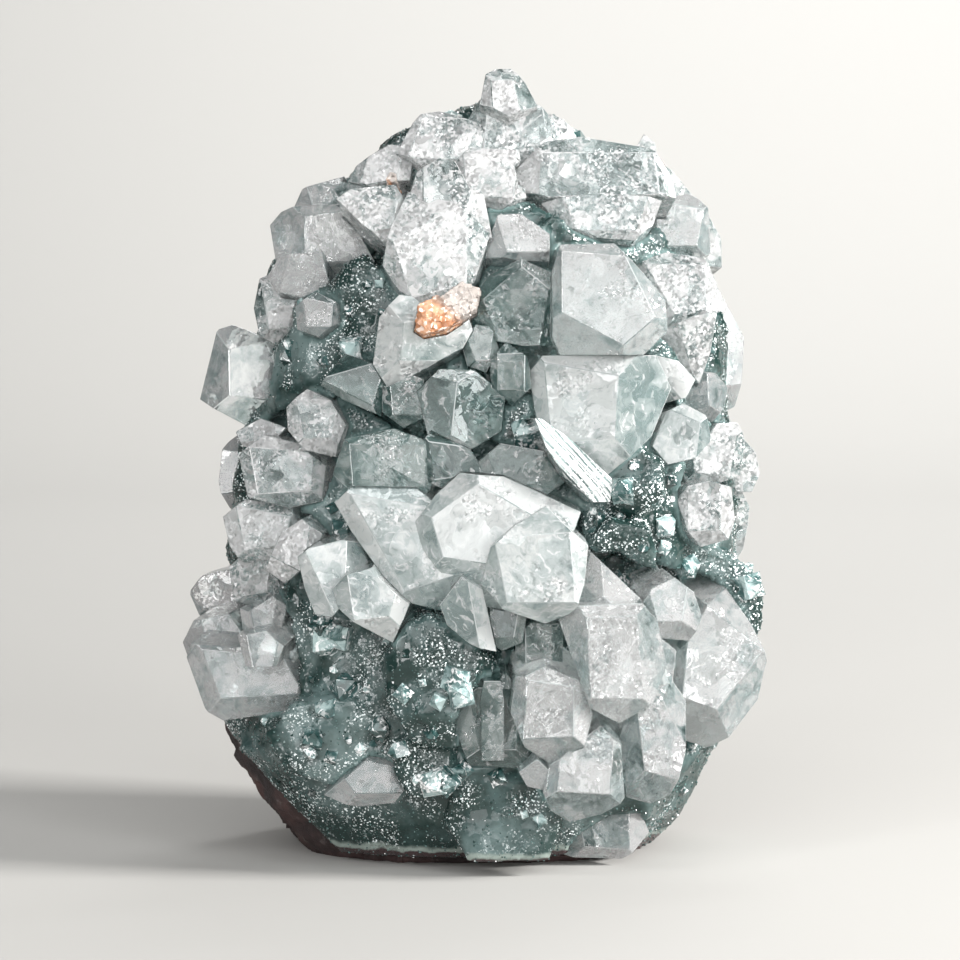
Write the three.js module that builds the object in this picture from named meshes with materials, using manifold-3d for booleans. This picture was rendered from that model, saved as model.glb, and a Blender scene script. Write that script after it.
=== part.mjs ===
// Apophyllite cluster in millimetres, Z up: clear tetragonal crystals and a little peach stilbite, grown on
// a green druse crust over a piece of basalt whose foot is sawn flat. -Y is the front.

import * as THREE from "three";
import { ConvexGeometry } from "three/addons/geometries/ConvexGeometry.js";
import { mergeVertices } from "three/addons/utils/BufferGeometryUtils.js";
import Module from "manifold-3d";

const wasm = await Module();
wasm.setup();

// Driving dimensions
const HEIGHT = 119; // sawn foot to the tip of the crown
const GAP = 0.3; // clearance between neighbouring solids
const CRUST = 3.5; // thickness of the green crust on the front of the basalt
const ROOT = 4; // how far a crystal reaches behind the surface that it grows from
const PROUD = 5; // how far a crystal's crest stands out of that surface, unless it says otherwise
const RIM_DEPTH = 12; // where the surface stands out less than this, a crystal's back is seen and has faces
const HEEL = 1.5; // height of those back faces
const HEEL_SLOPE = 0.45;
const SHOULDER = 0.3; // how far a crystal's outline is behind its crest, as a share of its height
const LEAN = 0.35; // how far a crystal leans outward, unless it says otherwise
const SPREAD_HEIGHT = 54; // crystals lean away from this height in the middle
const SPREAD_REACH = 40; // at this distance from it they lean by their whole `lean`
const FINE = 0.05; // detail finer than this is left out where solids have been cut

// The front view, 960 pixels square. Crystal outlines below are [column, row] places in it.
const TIP_ROW = 75;
const FOOT_ROW = 844; // where the foot's middle is, behind its front edge
const MIDDLE_COLUMN = 475;
const PIXEL = HEIGHT / (FOOT_ROW - TIP_ROW);
const VIEW_DISTANCE = 620;
const VIEW_RISE = THREE.MathUtils.degToRad(5);
const AIM = inPlane([480, 480]);
const EYE = AIM.clone().add(
  new THREE.Vector3(0, -Math.cos(VIEW_RISE), Math.sin(VIEW_RISE)).multiplyScalar(VIEW_DISTANCE),
);

// The rock's outline in the front view: [height, left, right]
const ROCK_OUTLINE = [
  [0, -26.5, 26.5],
  [7.5, -33, 33],
  [17, -38, 37.5],
  [25, -39, 39],
  [35, -38.5, 39.5],
  [55, -37, 40],
  [80, -32.5, 38],
  [90, -30, 34.5],
  [98, -26, 30],
  [109, -12, 15],
  [113, -3, 9],
];
const ROCK_TOP = 114;
const ROCK_SHARES = [0.74, 0.54]; // half-depth over half-width, at the foot and at the top
const ROCK_SQUARENESS = 2.5; // exponent of its rounded section
const ROCK_SIDES = 24;

// Repeatable random numbers from 0 to 1
function dice(seed) {
  let state = seed;
  return () => {
    state = (Math.imul(state, 1664525) + 1013904223) >>> 0;
    return state / 2 ** 32;
  };
}

// A place in the front view as a point of the plane Y = 0.
function inPlane([column, row]) {
  return new THREE.Vector3((column - MIDDLE_COLUMN) * PIXEL, 0, (FOOT_ROW - row) * PIXEL);
}

// The point that is seen at that place and stands out towards the viewer by that much.
function seenAt(place, out) {
  return inPlane(place).lerp(EYE, out / -EYE.y);
}

// The rock's middle and half-width at a height.
function rockAt(z) {
  const height = THREE.MathUtils.clamp(z, ROCK_OUTLINE[0][0], ROCK_OUTLINE.at(-1)[0]);
  const next = Math.max(1, ROCK_OUTLINE.findIndex(([level]) => level >= height));
  const [low, high] = [ROCK_OUTLINE[next - 1], ROCK_OUTLINE[next]];
  const side = (i) => THREE.MathUtils.mapLinear(height, low[0], high[0], low[i], high[i]);
  return { middle: (side(1) + side(2)) / 2, half: (side(2) - side(1)) / 2 };
}

function depthShare(z) {
  return THREE.MathUtils.lerp(...ROCK_SHARES, THREE.MathUtils.clamp(z / ROCK_TOP, 0, 1));
}

// How far the crust's front stands out at a place.
function frontDepth(place) {
  const { x, z } = inPlane(place);
  const { middle, half } = rockAt(z);
  const across = Math.min(Math.abs(x - middle) / half, 1);
  const rounded = (1 - across ** ROCK_SQUARENESS) ** (1 / ROCK_SQUARENESS);
  return (half * depthShare(z) + CRUST) * rounded;
}

// A closed geometry as a solid that can be joined and cut.
function solidOf(geometry) {
  const bare = geometry.clone();
  bare.deleteAttribute("normal");
  bare.deleteAttribute("uv");
  const merged = mergeVertices(bare, 1e-4);
  const vertProperties = new Float32Array(merged.attributes.position.array);
  const triVerts = new Uint32Array(merged.index.array);
  return new wasm.Manifold(new wasm.Mesh({ numProp: 3, vertProperties, triVerts }));
}

function geometryOf(solid) {
  const { numProp, vertProperties, triVerts } = solid.getMesh();
  const geometry = new THREE.BufferGeometry();
  const layout = new THREE.InterleavedBuffer(vertProperties, numProp);
  geometry.setAttribute("position", new THREE.InterleavedBufferAttribute(layout, 3, 0));
  geometry.setIndex(new THREE.BufferAttribute(triVerts, 1));
  const flat = geometry.toNonIndexed();
  flat.computeVertexNormals();
  return flat;
}

const joined = (solids) => wasm.Manifold.union(solids);
const cutBy = (solid, cutters) => (cutters.length ? solid.subtract(joined(cutters)) : solid);

// The largest of a solid's separate bodies: cutting can leave crumbs.
function mainBody(solid) {
  const bodies = solid.simplify(FINE).decompose();
  return bodies.reduce((best, body) => (body.volume() > best.volume() ? body : best));
}

// The corners of the convex form inside all of the planes, whose normals point out of it.
function cornersInside(planes) {
  const corners = [];
  const inside = (point) => planes.every((plane) => plane.distanceToPoint(point) < 1e-5);
  planes.forEach((a, i) =>
    planes.slice(0, i).forEach((b, j) =>
      planes.slice(0, j).forEach((c) => {
        const bc = b.normal.clone().cross(c.normal);
        const spread = a.normal.dot(bc);
        if (Math.abs(spread) < 1e-4) return;
        const ca = c.normal.clone().cross(a.normal);
        const ab = a.normal.clone().cross(b.normal);
        const corner = bc.multiplyScalar(-a.constant).addScaledVector(ca, -b.constant);
        corner.addScaledVector(ab, -c.constant).divideScalar(spread);
        const known = corners.some((other) => other.distanceTo(corner) < 1e-3);
        if (!known && inside(corner)) corners.push(corner);
      }),
    ),
  );
  return corners;
}

// One crystal's faces as planes. Its prism faces run back through the edges of the outline that it shows
// from the front, along the way it grew. Its main end face leans right and up by `facing`, through the
// crest, and each bevel [column, row, right, up] leans its own way from that place on the main face.
function crystalFaces(shape) {
  const { outline, crest, facing, bevels = [], proud = PROUD, root = ROOT, lean = LEAN } = shape;
  const surface = frontDepth(crest);
  const out = surface + proud;
  const top = seenAt(crest, out);
  const spread = new THREE.Vector3(top.x, 0, top.z - SPREAD_HEIGHT).multiplyScalar(lean / SPREAD_REACH);
  const growth = new THREE.Vector3(spread.x, -1, spread.z).normalize();
  const through = (point, ...normal) =>
    new THREE.Plane().setFromNormalAndCoplanarPoint(new THREE.Vector3(...normal).normalize(), point);
  const main = through(top, facing[0], -1, facing[1]);
  const onMain = (place) => {
    const sight = new THREE.Ray(EYE, seenAt(place, out).sub(EYE).normalize());
    return sight.intersectPlane(main, new THREE.Vector3());
  };
  const bevelled = bevels.map(([column, row, right, up]) => through(onMain([column, row]), right, -1, up));
  const shoulder = outline.map((place) => seenAt(place, out - SHOULDER * proud));
  const sides = shoulder.map((point, i) => {
    const along = shoulder[(i + 1) % shoulder.length].clone().sub(point);
    return through(point, ...growth.clone().cross(along));
  });
  const foot = top.clone().addScaledVector(growth, -(proud + root));
  const back = [through(foot, ...growth.clone().negate())];
  if (surface < RIM_DEPTH) {
    const heel = foot.clone().addScaledVector(growth, HEEL);
    const [right, up] = facing;
    back.push(through(heel, right - HEEL_SLOPE, 1, up));
    back.push(through(heel, right + HEEL_SLOPE, 1, up + HEEL_SLOPE));
  }
  return { ends: [main, ...bevelled], sides, back };
}

function crystal(shape) {
  const { ends, sides, back } = crystalFaces(shape);
  return solidOf(new ConvexGeometry(cornersInside([...ends, ...sides, ...back])));
}

// The corners of the room that a crystal needs: its prism grown by the gap, open past its crest.
function roomCorners(shape) {
  const { ends, sides, back } = crystalFaces(shape);
  const grown = [...sides, back[0]].map((plane) => new THREE.Plane(plane.normal, plane.constant - GAP));
  const mouth = new THREE.Plane(ends[0].normal, ends[0].constant - PROUD);
  return cornersInside([mouth, ...grown]);
}

// One hollow with room for all of these crystals
const socket = (shapes) => solidOf(new ConvexGeometry(shapes.flatMap(roomCorners)));

// The lumps of broken rock, as a distance out of the smooth form.
function lumps(x, y, z, pitch, height) {
  const wave = (a, b, c) => Math.sin((a * x + b * y + c * z) / pitch);
  const fine = wave(0.3, -0.8, 1.3) * wave(1.1, 0.4, -1);
  return (height * (wave(1, 0.7, 0.2) + wave(-0.6, 1, 0.9) + fine)) / 2;
}

// The rock's form with a flat foot, standing out further by `front` on the front
function rock({ front = 0, pitch = 6, height = 1.3 }) {
  const profile = ROCK_OUTLINE.map(([z]) => new THREE.Vector2(rockAt(z).half, z));
  const ends = [new THREE.Vector2(0, 0), new THREE.Vector2(0, ROCK_TOP)];
  const form = new THREE.LatheGeometry([ends[0], ...profile, ends[1]], ROCK_SIDES).rotateX(Math.PI / 2);
  const places = form.attributes.position;
  for (let i = 0; i < places.count; i += 1) {
    const [x, y, z] = [places.getX(i), places.getY(i), places.getZ(i)];
    const radius = Math.hypot(x, y) || 1;
    const rounded = (part) => Math.sign(part) * Math.abs(part / radius) ** (2 / ROCK_SQUARENESS);
    const wall = THREE.MathUtils.smoothstep(z, 0, 4) * Math.min(1, radius / 6);
    const swell = front * Math.min(1, Math.max(0, (-2.2 * y) / radius)) * Math.min(1, radius / 9);
    const bump = lumps(x, y, z, pitch, height) * wall;
    const deep = radius * depthShare(z) + swell + bump;
    places.setXYZ(i, rounded(x) * (radius + bump) + rockAt(z).middle, rounded(y) * deep, z);
  }
  return solidOf(form);
}

// Crystals by the group that they are grown together in. Outlines are convex and run clockwise.
const GROUPS = {
  lower_right_crystals: [
    {
      outline: [
        [560, 622], [577, 605], [642, 604], [657, 622], [667, 668], [652, 702], [620, 724], [590, 706],
      ],
      crest: [592, 640],
      proud: 11,
      facing: [0.12, 0.05],
      lean: 0.1,
      bevels: [[589, 650, -0.9, 0], [640, 655, 0.8, 0.1], [610, 618, 0.1, 0.8], [618, 700, 0.1, -0.7]],
    },
    {
      outline: [[575, 615], [581, 582], [591, 553], [612, 573], [640, 600], [642, 618]],
      crest: [601, 588],
      proud: 8,
      facing: [-0.5, 0.25],
      bevels: [[603, 585, 0.6, 0.35], [600, 602, 0, -0.3]],
    },
    {
      outline: [[637, 608], [648, 587], [672, 577], [692, 592], [700, 616], [688, 640], [652, 636]],
      crest: [668, 606],
      proud: 8,
      facing: [0.1, 0.3],
      bevels: [[655, 612, -0.7, 0.1], [684, 610, 0.7, 0.2], [670, 622, 0.1, -0.7]],
    },
    {
      outline: [
        [662, 695], [676, 645], [704, 604], [733, 595], [754, 628], [767, 662], [762, 704], [714, 754],
        [676, 742],
      ],
      crest: [704, 660],
      proud: 8,
      facing: [0.15, 0.15],
      lean: 0.5,
      bevels: [
        [688, 650, -0.8, 0.25], [730, 625, 0.6, 0.7], [735, 690, 0.75, -0.35], [700, 705, -0.2, -0.75],
      ],
    },
    {
      outline: [
        [616, 748], [624, 712], [648, 686], [672, 682], [686, 702], [681, 748], [668, 792], [650, 804],
        [626, 796],
      ],
      crest: [655, 735],
      proud: 10,
      facing: [0.2, 0.1],
      bevels: [[642, 740, -0.7, 0], [672, 720, 0.7, 0.35], [652, 775, 0, -0.6]],
    },
    {
      outline: [
        [511, 712], [516, 676], [545, 666], [578, 678], [592, 714], [582, 746], [550, 766], [524, 744],
      ],
      crest: [546, 712],
      proud: 9,
      facing: [-0.05, 0.05],
      bevels: [[526, 708, -0.8, 0.1], [550, 685, 0.05, 0.75], [574, 710, 0.8, 0.05], [548, 740, 0, -0.8]],
    },
    {
      outline: [
        [541, 786], [548, 760], [572, 737], [600, 725], [619, 742], [622, 794], [600, 812], [570, 823],
        [550, 808],
      ],
      crest: [588, 770],
      proud: 11,
      facing: [0.05, 0.15],
      bevels: [[560, 772, -0.7, 0.25], [596, 742, 0.1, 0.8], [612, 770, 0.8, 0.1], [585, 796, 0, -0.7]],
    },
    {
      outline: [[519, 770], [536, 754], [553, 768], [546, 786], [527, 784]],
      crest: [536, 770],
      proud: 8,
      facing: [-0.3, -0.2],
    },
    {
      outline: [[638, 648], [652, 632], [674, 650], [668, 690], [646, 686]],
      crest: [656, 660],
      proud: 7,
      facing: [0.3, 0.1],
      bevels: [[650, 664, -0.5, 0]],
    },
  ],
  centre_crystals: [
    {
      outline: [
        [482, 583], [491, 545], [516, 524], [546, 507], [587, 545], [583, 582], [574, 610], [545, 623],
        [505, 608],
      ],
      crest: [536, 560],
      proud: 11,
      facing: [0, 0.04],
      lean: 0.1,
      bevels: [[500, 566, -0.7, -0.1], [540, 535, -0.05, 0.75], [572, 560, 0.7, 0.1], [530, 603, 0, -0.8]],
    },
    {
      outline: [
        [416, 522], [436, 496], [460, 474], [504, 477], [580, 512], [560, 560], [505, 610], [466, 604],
        [420, 546],
      ],
      crest: [470, 525],
      proud: 8,
      facing: [-0.1, 0.1],
      lean: 0.1,
      bevels: [
        [450, 505, -0.5, 0.65], [505, 500, 0.25, 0.7], [460, 560, -0.2, -0.6], [435, 530, -0.75, -0.1],
      ],
    },
    {
      outline: [
        [335, 504], [352, 487], [415, 488], [446, 510], [456, 570], [446, 612], [414, 602], [384, 574],
        [352, 532],
      ],
      crest: [405, 540],
      proud: 6,
      facing: [-0.08, 0.12],
      bevels: [[365, 520, -0.55, -0.15], [385, 500, 0, 0.6], [425, 585, 0.15, -0.55]],
    },
    {
      outline: [[441, 604], [462, 574], [482, 588], [496, 651], [470, 641], [448, 624]],
      crest: [466, 600],
      proud: 8,
      facing: [-0.35, -0.1],
      bevels: [[472, 606, 0.7, 0.1]],
    },
  ],
  centre_left_crystals: [
    {
      outline: [
        [334, 588], [348, 573], [376, 566], [405, 577], [413, 594], [404, 618], [392, 643], [362, 622],
        [340, 607],
      ],
      crest: [372, 594],
      proud: 9,
      facing: [-0.05, 0.1],
      bevels: [[350, 592, -0.7, 0], [375, 578, 0.1, 0.7], [394, 596, 0.7, -0.1], [378, 618, 0.05, -0.7]],
    },
    {
      outline: [
        [300, 556], [312, 547], [345, 539], [359, 543], [367, 562], [352, 596], [336, 613], [318, 612],
        [307, 586],
      ],
      crest: [330, 572],
      proud: 8,
      facing: [0.05, 0.2],
      bevels: [[346, 560, 0.7, 0.2], [318, 580, -0.6, -0.1]],
    },
  ],
  bright_blade_crystal: [
    {
      outline: [
        [533, 419], [545, 418], [566, 438], [592, 456], [609, 478], [608, 501], [590, 501], [562, 476],
        [543, 446],
      ],
      crest: [574, 464],
      proud: 9.5,
      facing: [0.32, 0.36],
      bevels: [[562, 468, -0.6, -0.5], [600, 488, 0.6, -0.4]],
    },
  ],
  milky_edge_crystal: [
    {
      outline: [
        [531, 372], [544, 356], [656, 356], [671, 388], [650, 436], [600, 481], [566, 460], [540, 428],
      ],
      crest: [617, 400],
      proud: 9,
      facing: [-0.3, 0.06],
      lean: 0.15,
      bevels: [[617, 400, 0.5, 0.02], [585, 440, -0.25, -0.6], [575, 368, -0.2, 0.7], [548, 400, -0.9, 0]],
    },
    {
      outline: [[652, 357], [676, 362], [693, 380], [682, 398], [664, 402]],
      crest: [672, 380],
      proud: 5,
      facing: [0.3, 0.2],
      bevels: [[670, 385, -0.3, -0.3]],
    },
  ],
  bevelled_crystal: [
    {
      outline: [
        [552, 272], [560, 246], [613, 245], [640, 274], [662, 302], [664, 332], [640, 356], [562, 358],
        [552, 336],
      ],
      crest: [598, 300],
      proud: 10,
      facing: [-0.06, 0.2],
      lean: 0.15,
      bevels: [
        [576, 320, -0.4, -0.45], [634, 276, 0.55, 0.5], [562, 280, -0.85, 0.2], [640, 330, 0.5, -0.45],
        [590, 254, 0, 0.9],
      ],
    },
  ],
  top_slab_crystals: [
    {
      outline: [
        [512, 175], [545, 143], [580, 136], [650, 152], [668, 180], [673, 201], [545, 204], [515, 192],
      ],
      crest: [600, 186],
      proud: 7,
      facing: [0, 0.22],
      bevels: [[600, 203, 0, -2.2], [540, 178, -0.55, 0.25], [656, 180, 0.6, 0.3], [595, 154, 0, 0.9]],
    },
    {
      outline: [[543, 202], [600, 196], [661, 200], [652, 224], [634, 240], [596, 238], [562, 228]],
      crest: [600, 216],
      proud: 3,
      facing: [0, 0.12],
      bevels: [[570, 216, -0.5, -0.1], [640, 216, 0.6, -0.1], [602, 230, 0, -0.7]],
    },
    {
      outline: [[622, 172], [640, 141], [647, 143], [650, 184]],
      crest: [641, 156],
      proud: 13,
      root: -4,
      facing: [0.2, 0.3],
    },
  ],
  right_shoulder_crystals: [
    {
      outline: [[655, 165], [680, 177], [700, 205], [712, 228], [690, 240], [664, 205]],
      crest: [684, 200],
      proud: 2,
      facing: [0.4, 0.3],
      bevels: [[675, 208, -0.4, -0.1]],
    },
    {
      outline: [[696, 202], [719, 228], [719, 268], [700, 268]],
      crest: [707, 240],
      proud: 2,
      facing: [0.35, 0.1],
    },
  ],
  upper_right_block: [
    {
      outline: [
        [645, 218], [655, 202], [690, 195], [704, 212], [707, 255], [690, 264], [662, 256], [648, 238],
      ],
      crest: [674, 224],
      proud: 6,
      facing: [0, 0.15],
      bevels: [[656, 226, -0.7, 0.1], [680, 206, 0.1, 0.75], [698, 232, 0.75, 0], [674, 246, 0, -0.7]],
    },
  ],
  upper_right_crystals: [
    {
      outline: [
        [628, 268], [664, 254], [700, 260], [714, 284], [712, 322], [690, 336], [664, 330], [640, 300],
      ],
      crest: [688, 278],
      proud: 5,
      facing: [0, 0.1],
      bevels: [[660, 290, -0.7, -0.3], [704, 290, 0.7, 0.1], [690, 312, 0.1, -0.6], [684, 264, 0, 0.7]],
    },
    {
      outline: [[652, 335], [690, 318], [714, 312], [708, 352], [698, 383], [678, 364]],
      crest: [692, 342],
      proud: 4,
      facing: [0.25, -0.1],
      bevels: [[684, 345, -0.4, -0.3]],
    },
  ],
  right_plate_crystal: [
    {
      outline: [[702, 264], [738, 267], [743, 300], [741, 352], [737, 404], [722, 412], [706, 352]],
      crest: [722, 330],
      proud: 3,
      facing: [0.25, 0.03],
      lean: 0.5,
      bevels: [[716, 330, -0.5, 0], [728, 290, 0.3, 0.6], [728, 385, 0.3, -0.5]],
    },
  ],
  right_point_crystal: [
    {
      outline: [[682, 404], [694, 372], [714, 374], [727, 388], [722, 406], [712, 421], [698, 418]],
      crest: [706, 396],
      proud: 4,
      facing: [-0.3, 0.1],
      bevels: [[708, 396, 0.5, 0.15], [706, 406, 0, -0.7]],
    },
  ],
  crown_crystals: [
    {
      outline: [[480, 112], [486, 82], [496, 75], [510, 75], [524, 90], [536, 112], [508, 128]],
      crest: [503, 96],
      proud: 8,
      root: 9,
      facing: [0, 0.15],
      bevels: [[492, 98, -0.6, 0.1], [516, 96, 0.6, 0.3], [502, 82, 0, 0.8]],
    },
    {
      outline: [
        [462, 132], [480, 102], [505, 90], [532, 90], [550, 112], [572, 146], [548, 170], [500, 174],
        [470, 160],
      ],
      crest: [514, 128],
      proud: 4,
      facing: [0, 0.15],
      bevels: [[486, 130, -0.6, 0.2], [545, 132, 0.6, 0.25], [510, 152, 0, -0.55], [518, 104, 0.1, 0.7]],
    },
    {
      outline: [
        [392, 152], [404, 134], [421, 116], [464, 108], [484, 112], [492, 150], [470, 174], [430, 172],
      ],
      crest: [448, 140],
      proud: 3,
      facing: [-0.05, 0.2],
      bevels: [[415, 142, -0.6, 0.4], [450, 120, 0, 0.8], [470, 146, 0.5, 0], [440, 160, -0.1, -0.6]],
    },
    {
      outline: [[535, 124], [553, 112], [573, 124], [579, 142], [562, 168], [536, 166]],
      crest: [555, 138],
      proud: 2.5,
      facing: [0.1, 0.2],
      bevels: [[566, 140, 0.7, 0.2], [554, 122, 0, 0.7], [546, 146, -0.5, -0.2]],
    },
    {
      outline: [[452, 168], [470, 152], [518, 154], [525, 200], [500, 213], [470, 206]],
      crest: [490, 178],
      proud: 5,
      root: 13,
      facing: [0, 0.15],
      bevels: [[466, 180, -0.6, 0.1], [514, 182, 0.7, 0.1], [488, 198, 0, -0.6]],
    },
    {
      outline: [[344, 180], [350, 169], [374, 156], [399, 141], [414, 152], [410, 182], [380, 192]],
      crest: [384, 168],
      proud: 2.5,
      facing: [-0.15, 0.25],
      bevels: [[366, 170, -0.6, 0.4], [400, 166, 0.6, 0.1], [385, 182, 0, -0.6]],
    },
  ],
  upper_left_crystals: [
    {
      outline: [
        [411, 198], [418, 175], [440, 162], [466, 168], [482, 194], [492, 242], [478, 242], [440, 219],
      ],
      crest: [446, 196],
      proud: 8,
      facing: [-0.1, 0.3],
      bevels: [[466, 208, 0.6, 0.1], [438, 212, -0.35, -0.7], [424, 186, -0.7, 0.3]],
    },
    {
      outline: [
        [384, 266], [392, 230], [408, 190], [452, 204], [489, 232], [474, 284], [458, 300], [428, 313],
        [400, 292],
      ],
      crest: [432, 252],
      proud: 6,
      facing: [0.03, 0.06],
      bevels: [
        [400, 262, -0.6, -0.15], [440, 290, 0.2, -0.6], [466, 264, 0.65, 0.05], [430, 222, -0.25, 0.6],
      ],
    },
    {
      outline: [[335, 204], [352, 193], [396, 187], [406, 206], [402, 232], [388, 253], [366, 230]],
      crest: [382, 210],
      proud: 7,
      facing: [-0.15, 0.2],
      bevels: [[396, 214, 0.7, 0.1], [384, 230, 0.05, -0.6], [374, 196, 0, 0.8]],
    },
  ],
  upper_left_block: [
    {
      outline: [
        [269, 222], [282, 212], [320, 206], [348, 207], [374, 236], [380, 262], [320, 266], [278, 270],
      ],
      crest: [307, 240],
      proud: 6,
      facing: [0.22, 0.03],
      lean: 0.45,
      bevels: [[306, 240, -0.6, 0.02], [318, 216, 0.1, 0.9]],
    },
    {
      outline: [[296, 206], [304, 190], [345, 178], [388, 182], [394, 204], [350, 240], [306, 236]],
      crest: [336, 196],
      proud: 3.5,
      root: 8,
      facing: [-0.1, 0.35],
      bevels: [[312, 200, -0.6, 0.2], [345, 204, 0, -0.5]],
    },
    {
      outline: [[268, 276], [282, 258], [326, 256], [332, 288], [304, 298], [278, 292]],
      crest: [302, 280],
      proud: 3.5,
      facing: [-0.1, -0.15],
      bevels: [[284, 280, -0.6, 0]],
    },
  ],
  left_small_crystal: [
    {
      outline: [[255, 308], [262, 280], [280, 270], [302, 286], [302, 330], [280, 346], [262, 336]],
      crest: [280, 304],
      proud: 4,
      facing: [-0.1, 0.1],
      bevels: [[266, 305, -0.7, 0], [282, 284, 0, 0.7], [294, 308, 0.6, -0.1], [280, 328, 0, -0.6]],
    },
  ],
  left_round_crystal: [
    {
      outline: [[298, 308], [318, 294], [338, 304], [340, 324], [320, 337], [300, 330]],
      crest: [319, 313],
      proud: 4.5,
      facing: [0, 0.05],
      bevels: [[306, 314, -0.5, 0], [322, 302, 0.1, 0.6], [332, 316, 0.6, 0], [318, 326, 0, -0.6]],
    },
  ],
  left_block_crystal: [
    {
      outline: [[202, 399], [222, 331], [234, 326], [298, 350], [301, 378], [296, 403], [245, 424]],
      crest: [252, 372],
      proud: 9,
      facing: [0.12, 0.14],
      lean: 0.55,
      bevels: [[230, 372, -0.75, 0.12], [255, 398, 0, -0.8], [250, 345, 0, 0.7]],
    },
  ],
  milky_block_crystal: [
    {
      outline: [
        [374, 364], [381, 318], [400, 296], [438, 300], [466, 312], [472, 330], [462, 348], [426, 368],
        [388, 387],
      ],
      crest: [404, 342],
      proud: 7,
      facing: [0.22, -0.06],
      bevels: [[402, 345, -0.5, 0], [425, 318, 0.1, 0.5], [430, 360, 0.2, -0.7]],
    },
  ],
  grey_green_crystals: [
    {
      outline: [
        [470, 302], [490, 276], [520, 261], [549, 272], [552, 304], [552, 346], [520, 347], [490, 342],
        [473, 324],
      ],
      crest: [516, 304],
      proud: 5,
      facing: [0.06, 0.02],
      bevels: [
        [506, 280, -0.4, 0.55], [488, 312, -0.55, -0.2], [540, 282, 0.45, 0.5], [544, 315, 0.7, -0.1],
      ],
    },
    {
      outline: [[464, 350], [476, 326], [492, 328], [499, 352], [486, 372], [468, 366]],
      crest: [482, 346],
      proud: 4,
      facing: [0, 0.1],
      bevels: [[472, 350, -0.5, -0.1], [490, 350, 0.6, 0], [482, 360, 0, -0.6]],
    },
    {
      outline: [[490, 362], [506, 343], [526, 358], [532, 386], [512, 404], [492, 388]],
      crest: [511, 372],
      proud: 4,
      facing: [0, 0],
      bevels: [[498, 372, -0.6, 0], [512, 354, 0, 0.6], [524, 374, 0.6, 0], [512, 390, 0, -0.6]],
    },
  ],
  under_slab_crystal: [
    {
      outline: [[482, 258], [498, 218], [520, 216], [548, 236], [548, 262], [520, 262]],
      crest: [516, 238],
      proud: 4,
      facing: [0.1, 0.2],
      bevels: [[504, 240, -0.6, 0], [520, 252, 0.1, -0.6]],
    },
  ],
  grey_lower_crystals: [
    {
      outline: [[334, 474], [346, 440], [394, 429], [424, 440], [442, 468], [426, 496], [362, 498]],
      crest: [390, 464],
      proud: 6,
      facing: [0, 0.05],
      bevels: [[352, 470, -0.6, 0], [390, 444, 0, 0.7], [424, 466, 0.6, 0.05], [392, 486, 0, -0.6]],
    },
    {
      outline: [[418, 446], [432, 432], [470, 450], [484, 470], [452, 492], [430, 482]],
      crest: [448, 460],
      proud: 5,
      facing: [0.1, 0.1],
      bevels: [[432, 462, -0.6, 0], [456, 446, 0.2, 0.7], [456, 476, 0.2, -0.6]],
    },
    {
      outline: [[478, 462], [500, 444], [545, 452], [564, 482], [532, 502], [490, 490]],
      crest: [516, 464],
      proud: 5.5,
      facing: [0, 0.2],
      bevels: [[494, 470, -0.5, 0], [540, 470, 0.5, 0.1], [516, 484, 0, -0.5]],
    },
  ],
  grey_upper_crystals: [
    {
      outline: [[418, 392], [440, 370], [474, 371], [504, 396], [500, 430], [470, 450], [430, 442]],
      crest: [458, 406],
      proud: 6,
      facing: [-0.1, 0.05],
      bevels: [[454, 410, 0.35, 0], [455, 382, 0, 0.6], [458, 434, 0, -0.6]],
    },
    {
      outline: [[384, 388], [404, 374], [424, 380], [424, 418], [404, 427], [384, 412]],
      crest: [404, 396],
      proud: 5,
      facing: [0, 0.05],
      bevels: [[392, 398, -0.6, 0], [404, 384, 0, 0.7], [406, 414, 0, -0.6]],
    },
    {
      outline: [[324, 386], [345, 354], [376, 365], [386, 386], [382, 416], [346, 400]],
      crest: [360, 384],
      proud: 6,
      facing: [0.05, 0.2],
      bevels: [[352, 370, -0.1, 0.7], [346, 392, -0.3, -0.5], [376, 392, 0.7, 0]],
    },
  ],
  left_rim_crystals: [
    {
      outline: [[238, 432], [262, 419], [288, 428], [272, 448], [246, 446]],
      crest: [262, 432],
      proud: 3,
      facing: [-0.1, 0.3],
      bevels: [[262, 440, 0, -0.5]],
    },
    {
      outline: [[288, 408], [308, 390], [332, 400], [346, 425], [336, 456], [308, 450], [290, 430]],
      crest: [316, 416],
      proud: 5,
      facing: [0, 0.1],
      bevels: [[300, 416, -0.6, 0], [316, 400, 0, 0.7], [334, 424, 0.6, 0], [316, 438, 0, -0.6]],
    },
    {
      outline: [[240, 455], [264, 436], [302, 444], [326, 466], [324, 500], [290, 507], [250, 496]],
      crest: [282, 468],
      proud: 5,
      facing: [-0.05, 0.1],
      bevels: [[254, 470, -0.6, 0], [284, 450, 0, 0.7], [312, 472, 0.6, 0.1], [284, 492, 0, -0.6]],
    },
  ],
  left_lower_crystals: [
    {
      outline: [[222, 518], [246, 500], [292, 506], [302, 530], [276, 558], [244, 562], [230, 546]],
      crest: [264, 526],
      proud: 4,
      facing: [-0.1, 0.1],
      bevels: [[240, 526, -0.6, 0], [266, 512, 0, 0.6], [288, 530, 0.6, 0], [262, 548, 0, -0.6]],
    },
    {
      outline: [[229, 568], [252, 548], [276, 560], [280, 590], [256, 606], [234, 600]],
      crest: [255, 576],
      proud: 3.5,
      facing: [-0.1, 0.05],
      bevels: [[240, 576, -0.6, 0], [268, 576, 0.6, 0], [256, 594, 0, -0.6]],
    },
    {
      outline: [[267, 570], [284, 532], [304, 519], [322, 534], [312, 562], [286, 582]],
      crest: [294, 550],
      proud: 6,
      facing: [-0.1, 0.2],
      bevels: [[306, 548, 0.6, 0.1], [282, 562, -0.4, -0.4]],
    },
  ],
  left_edge_crystal: [
    {
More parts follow.
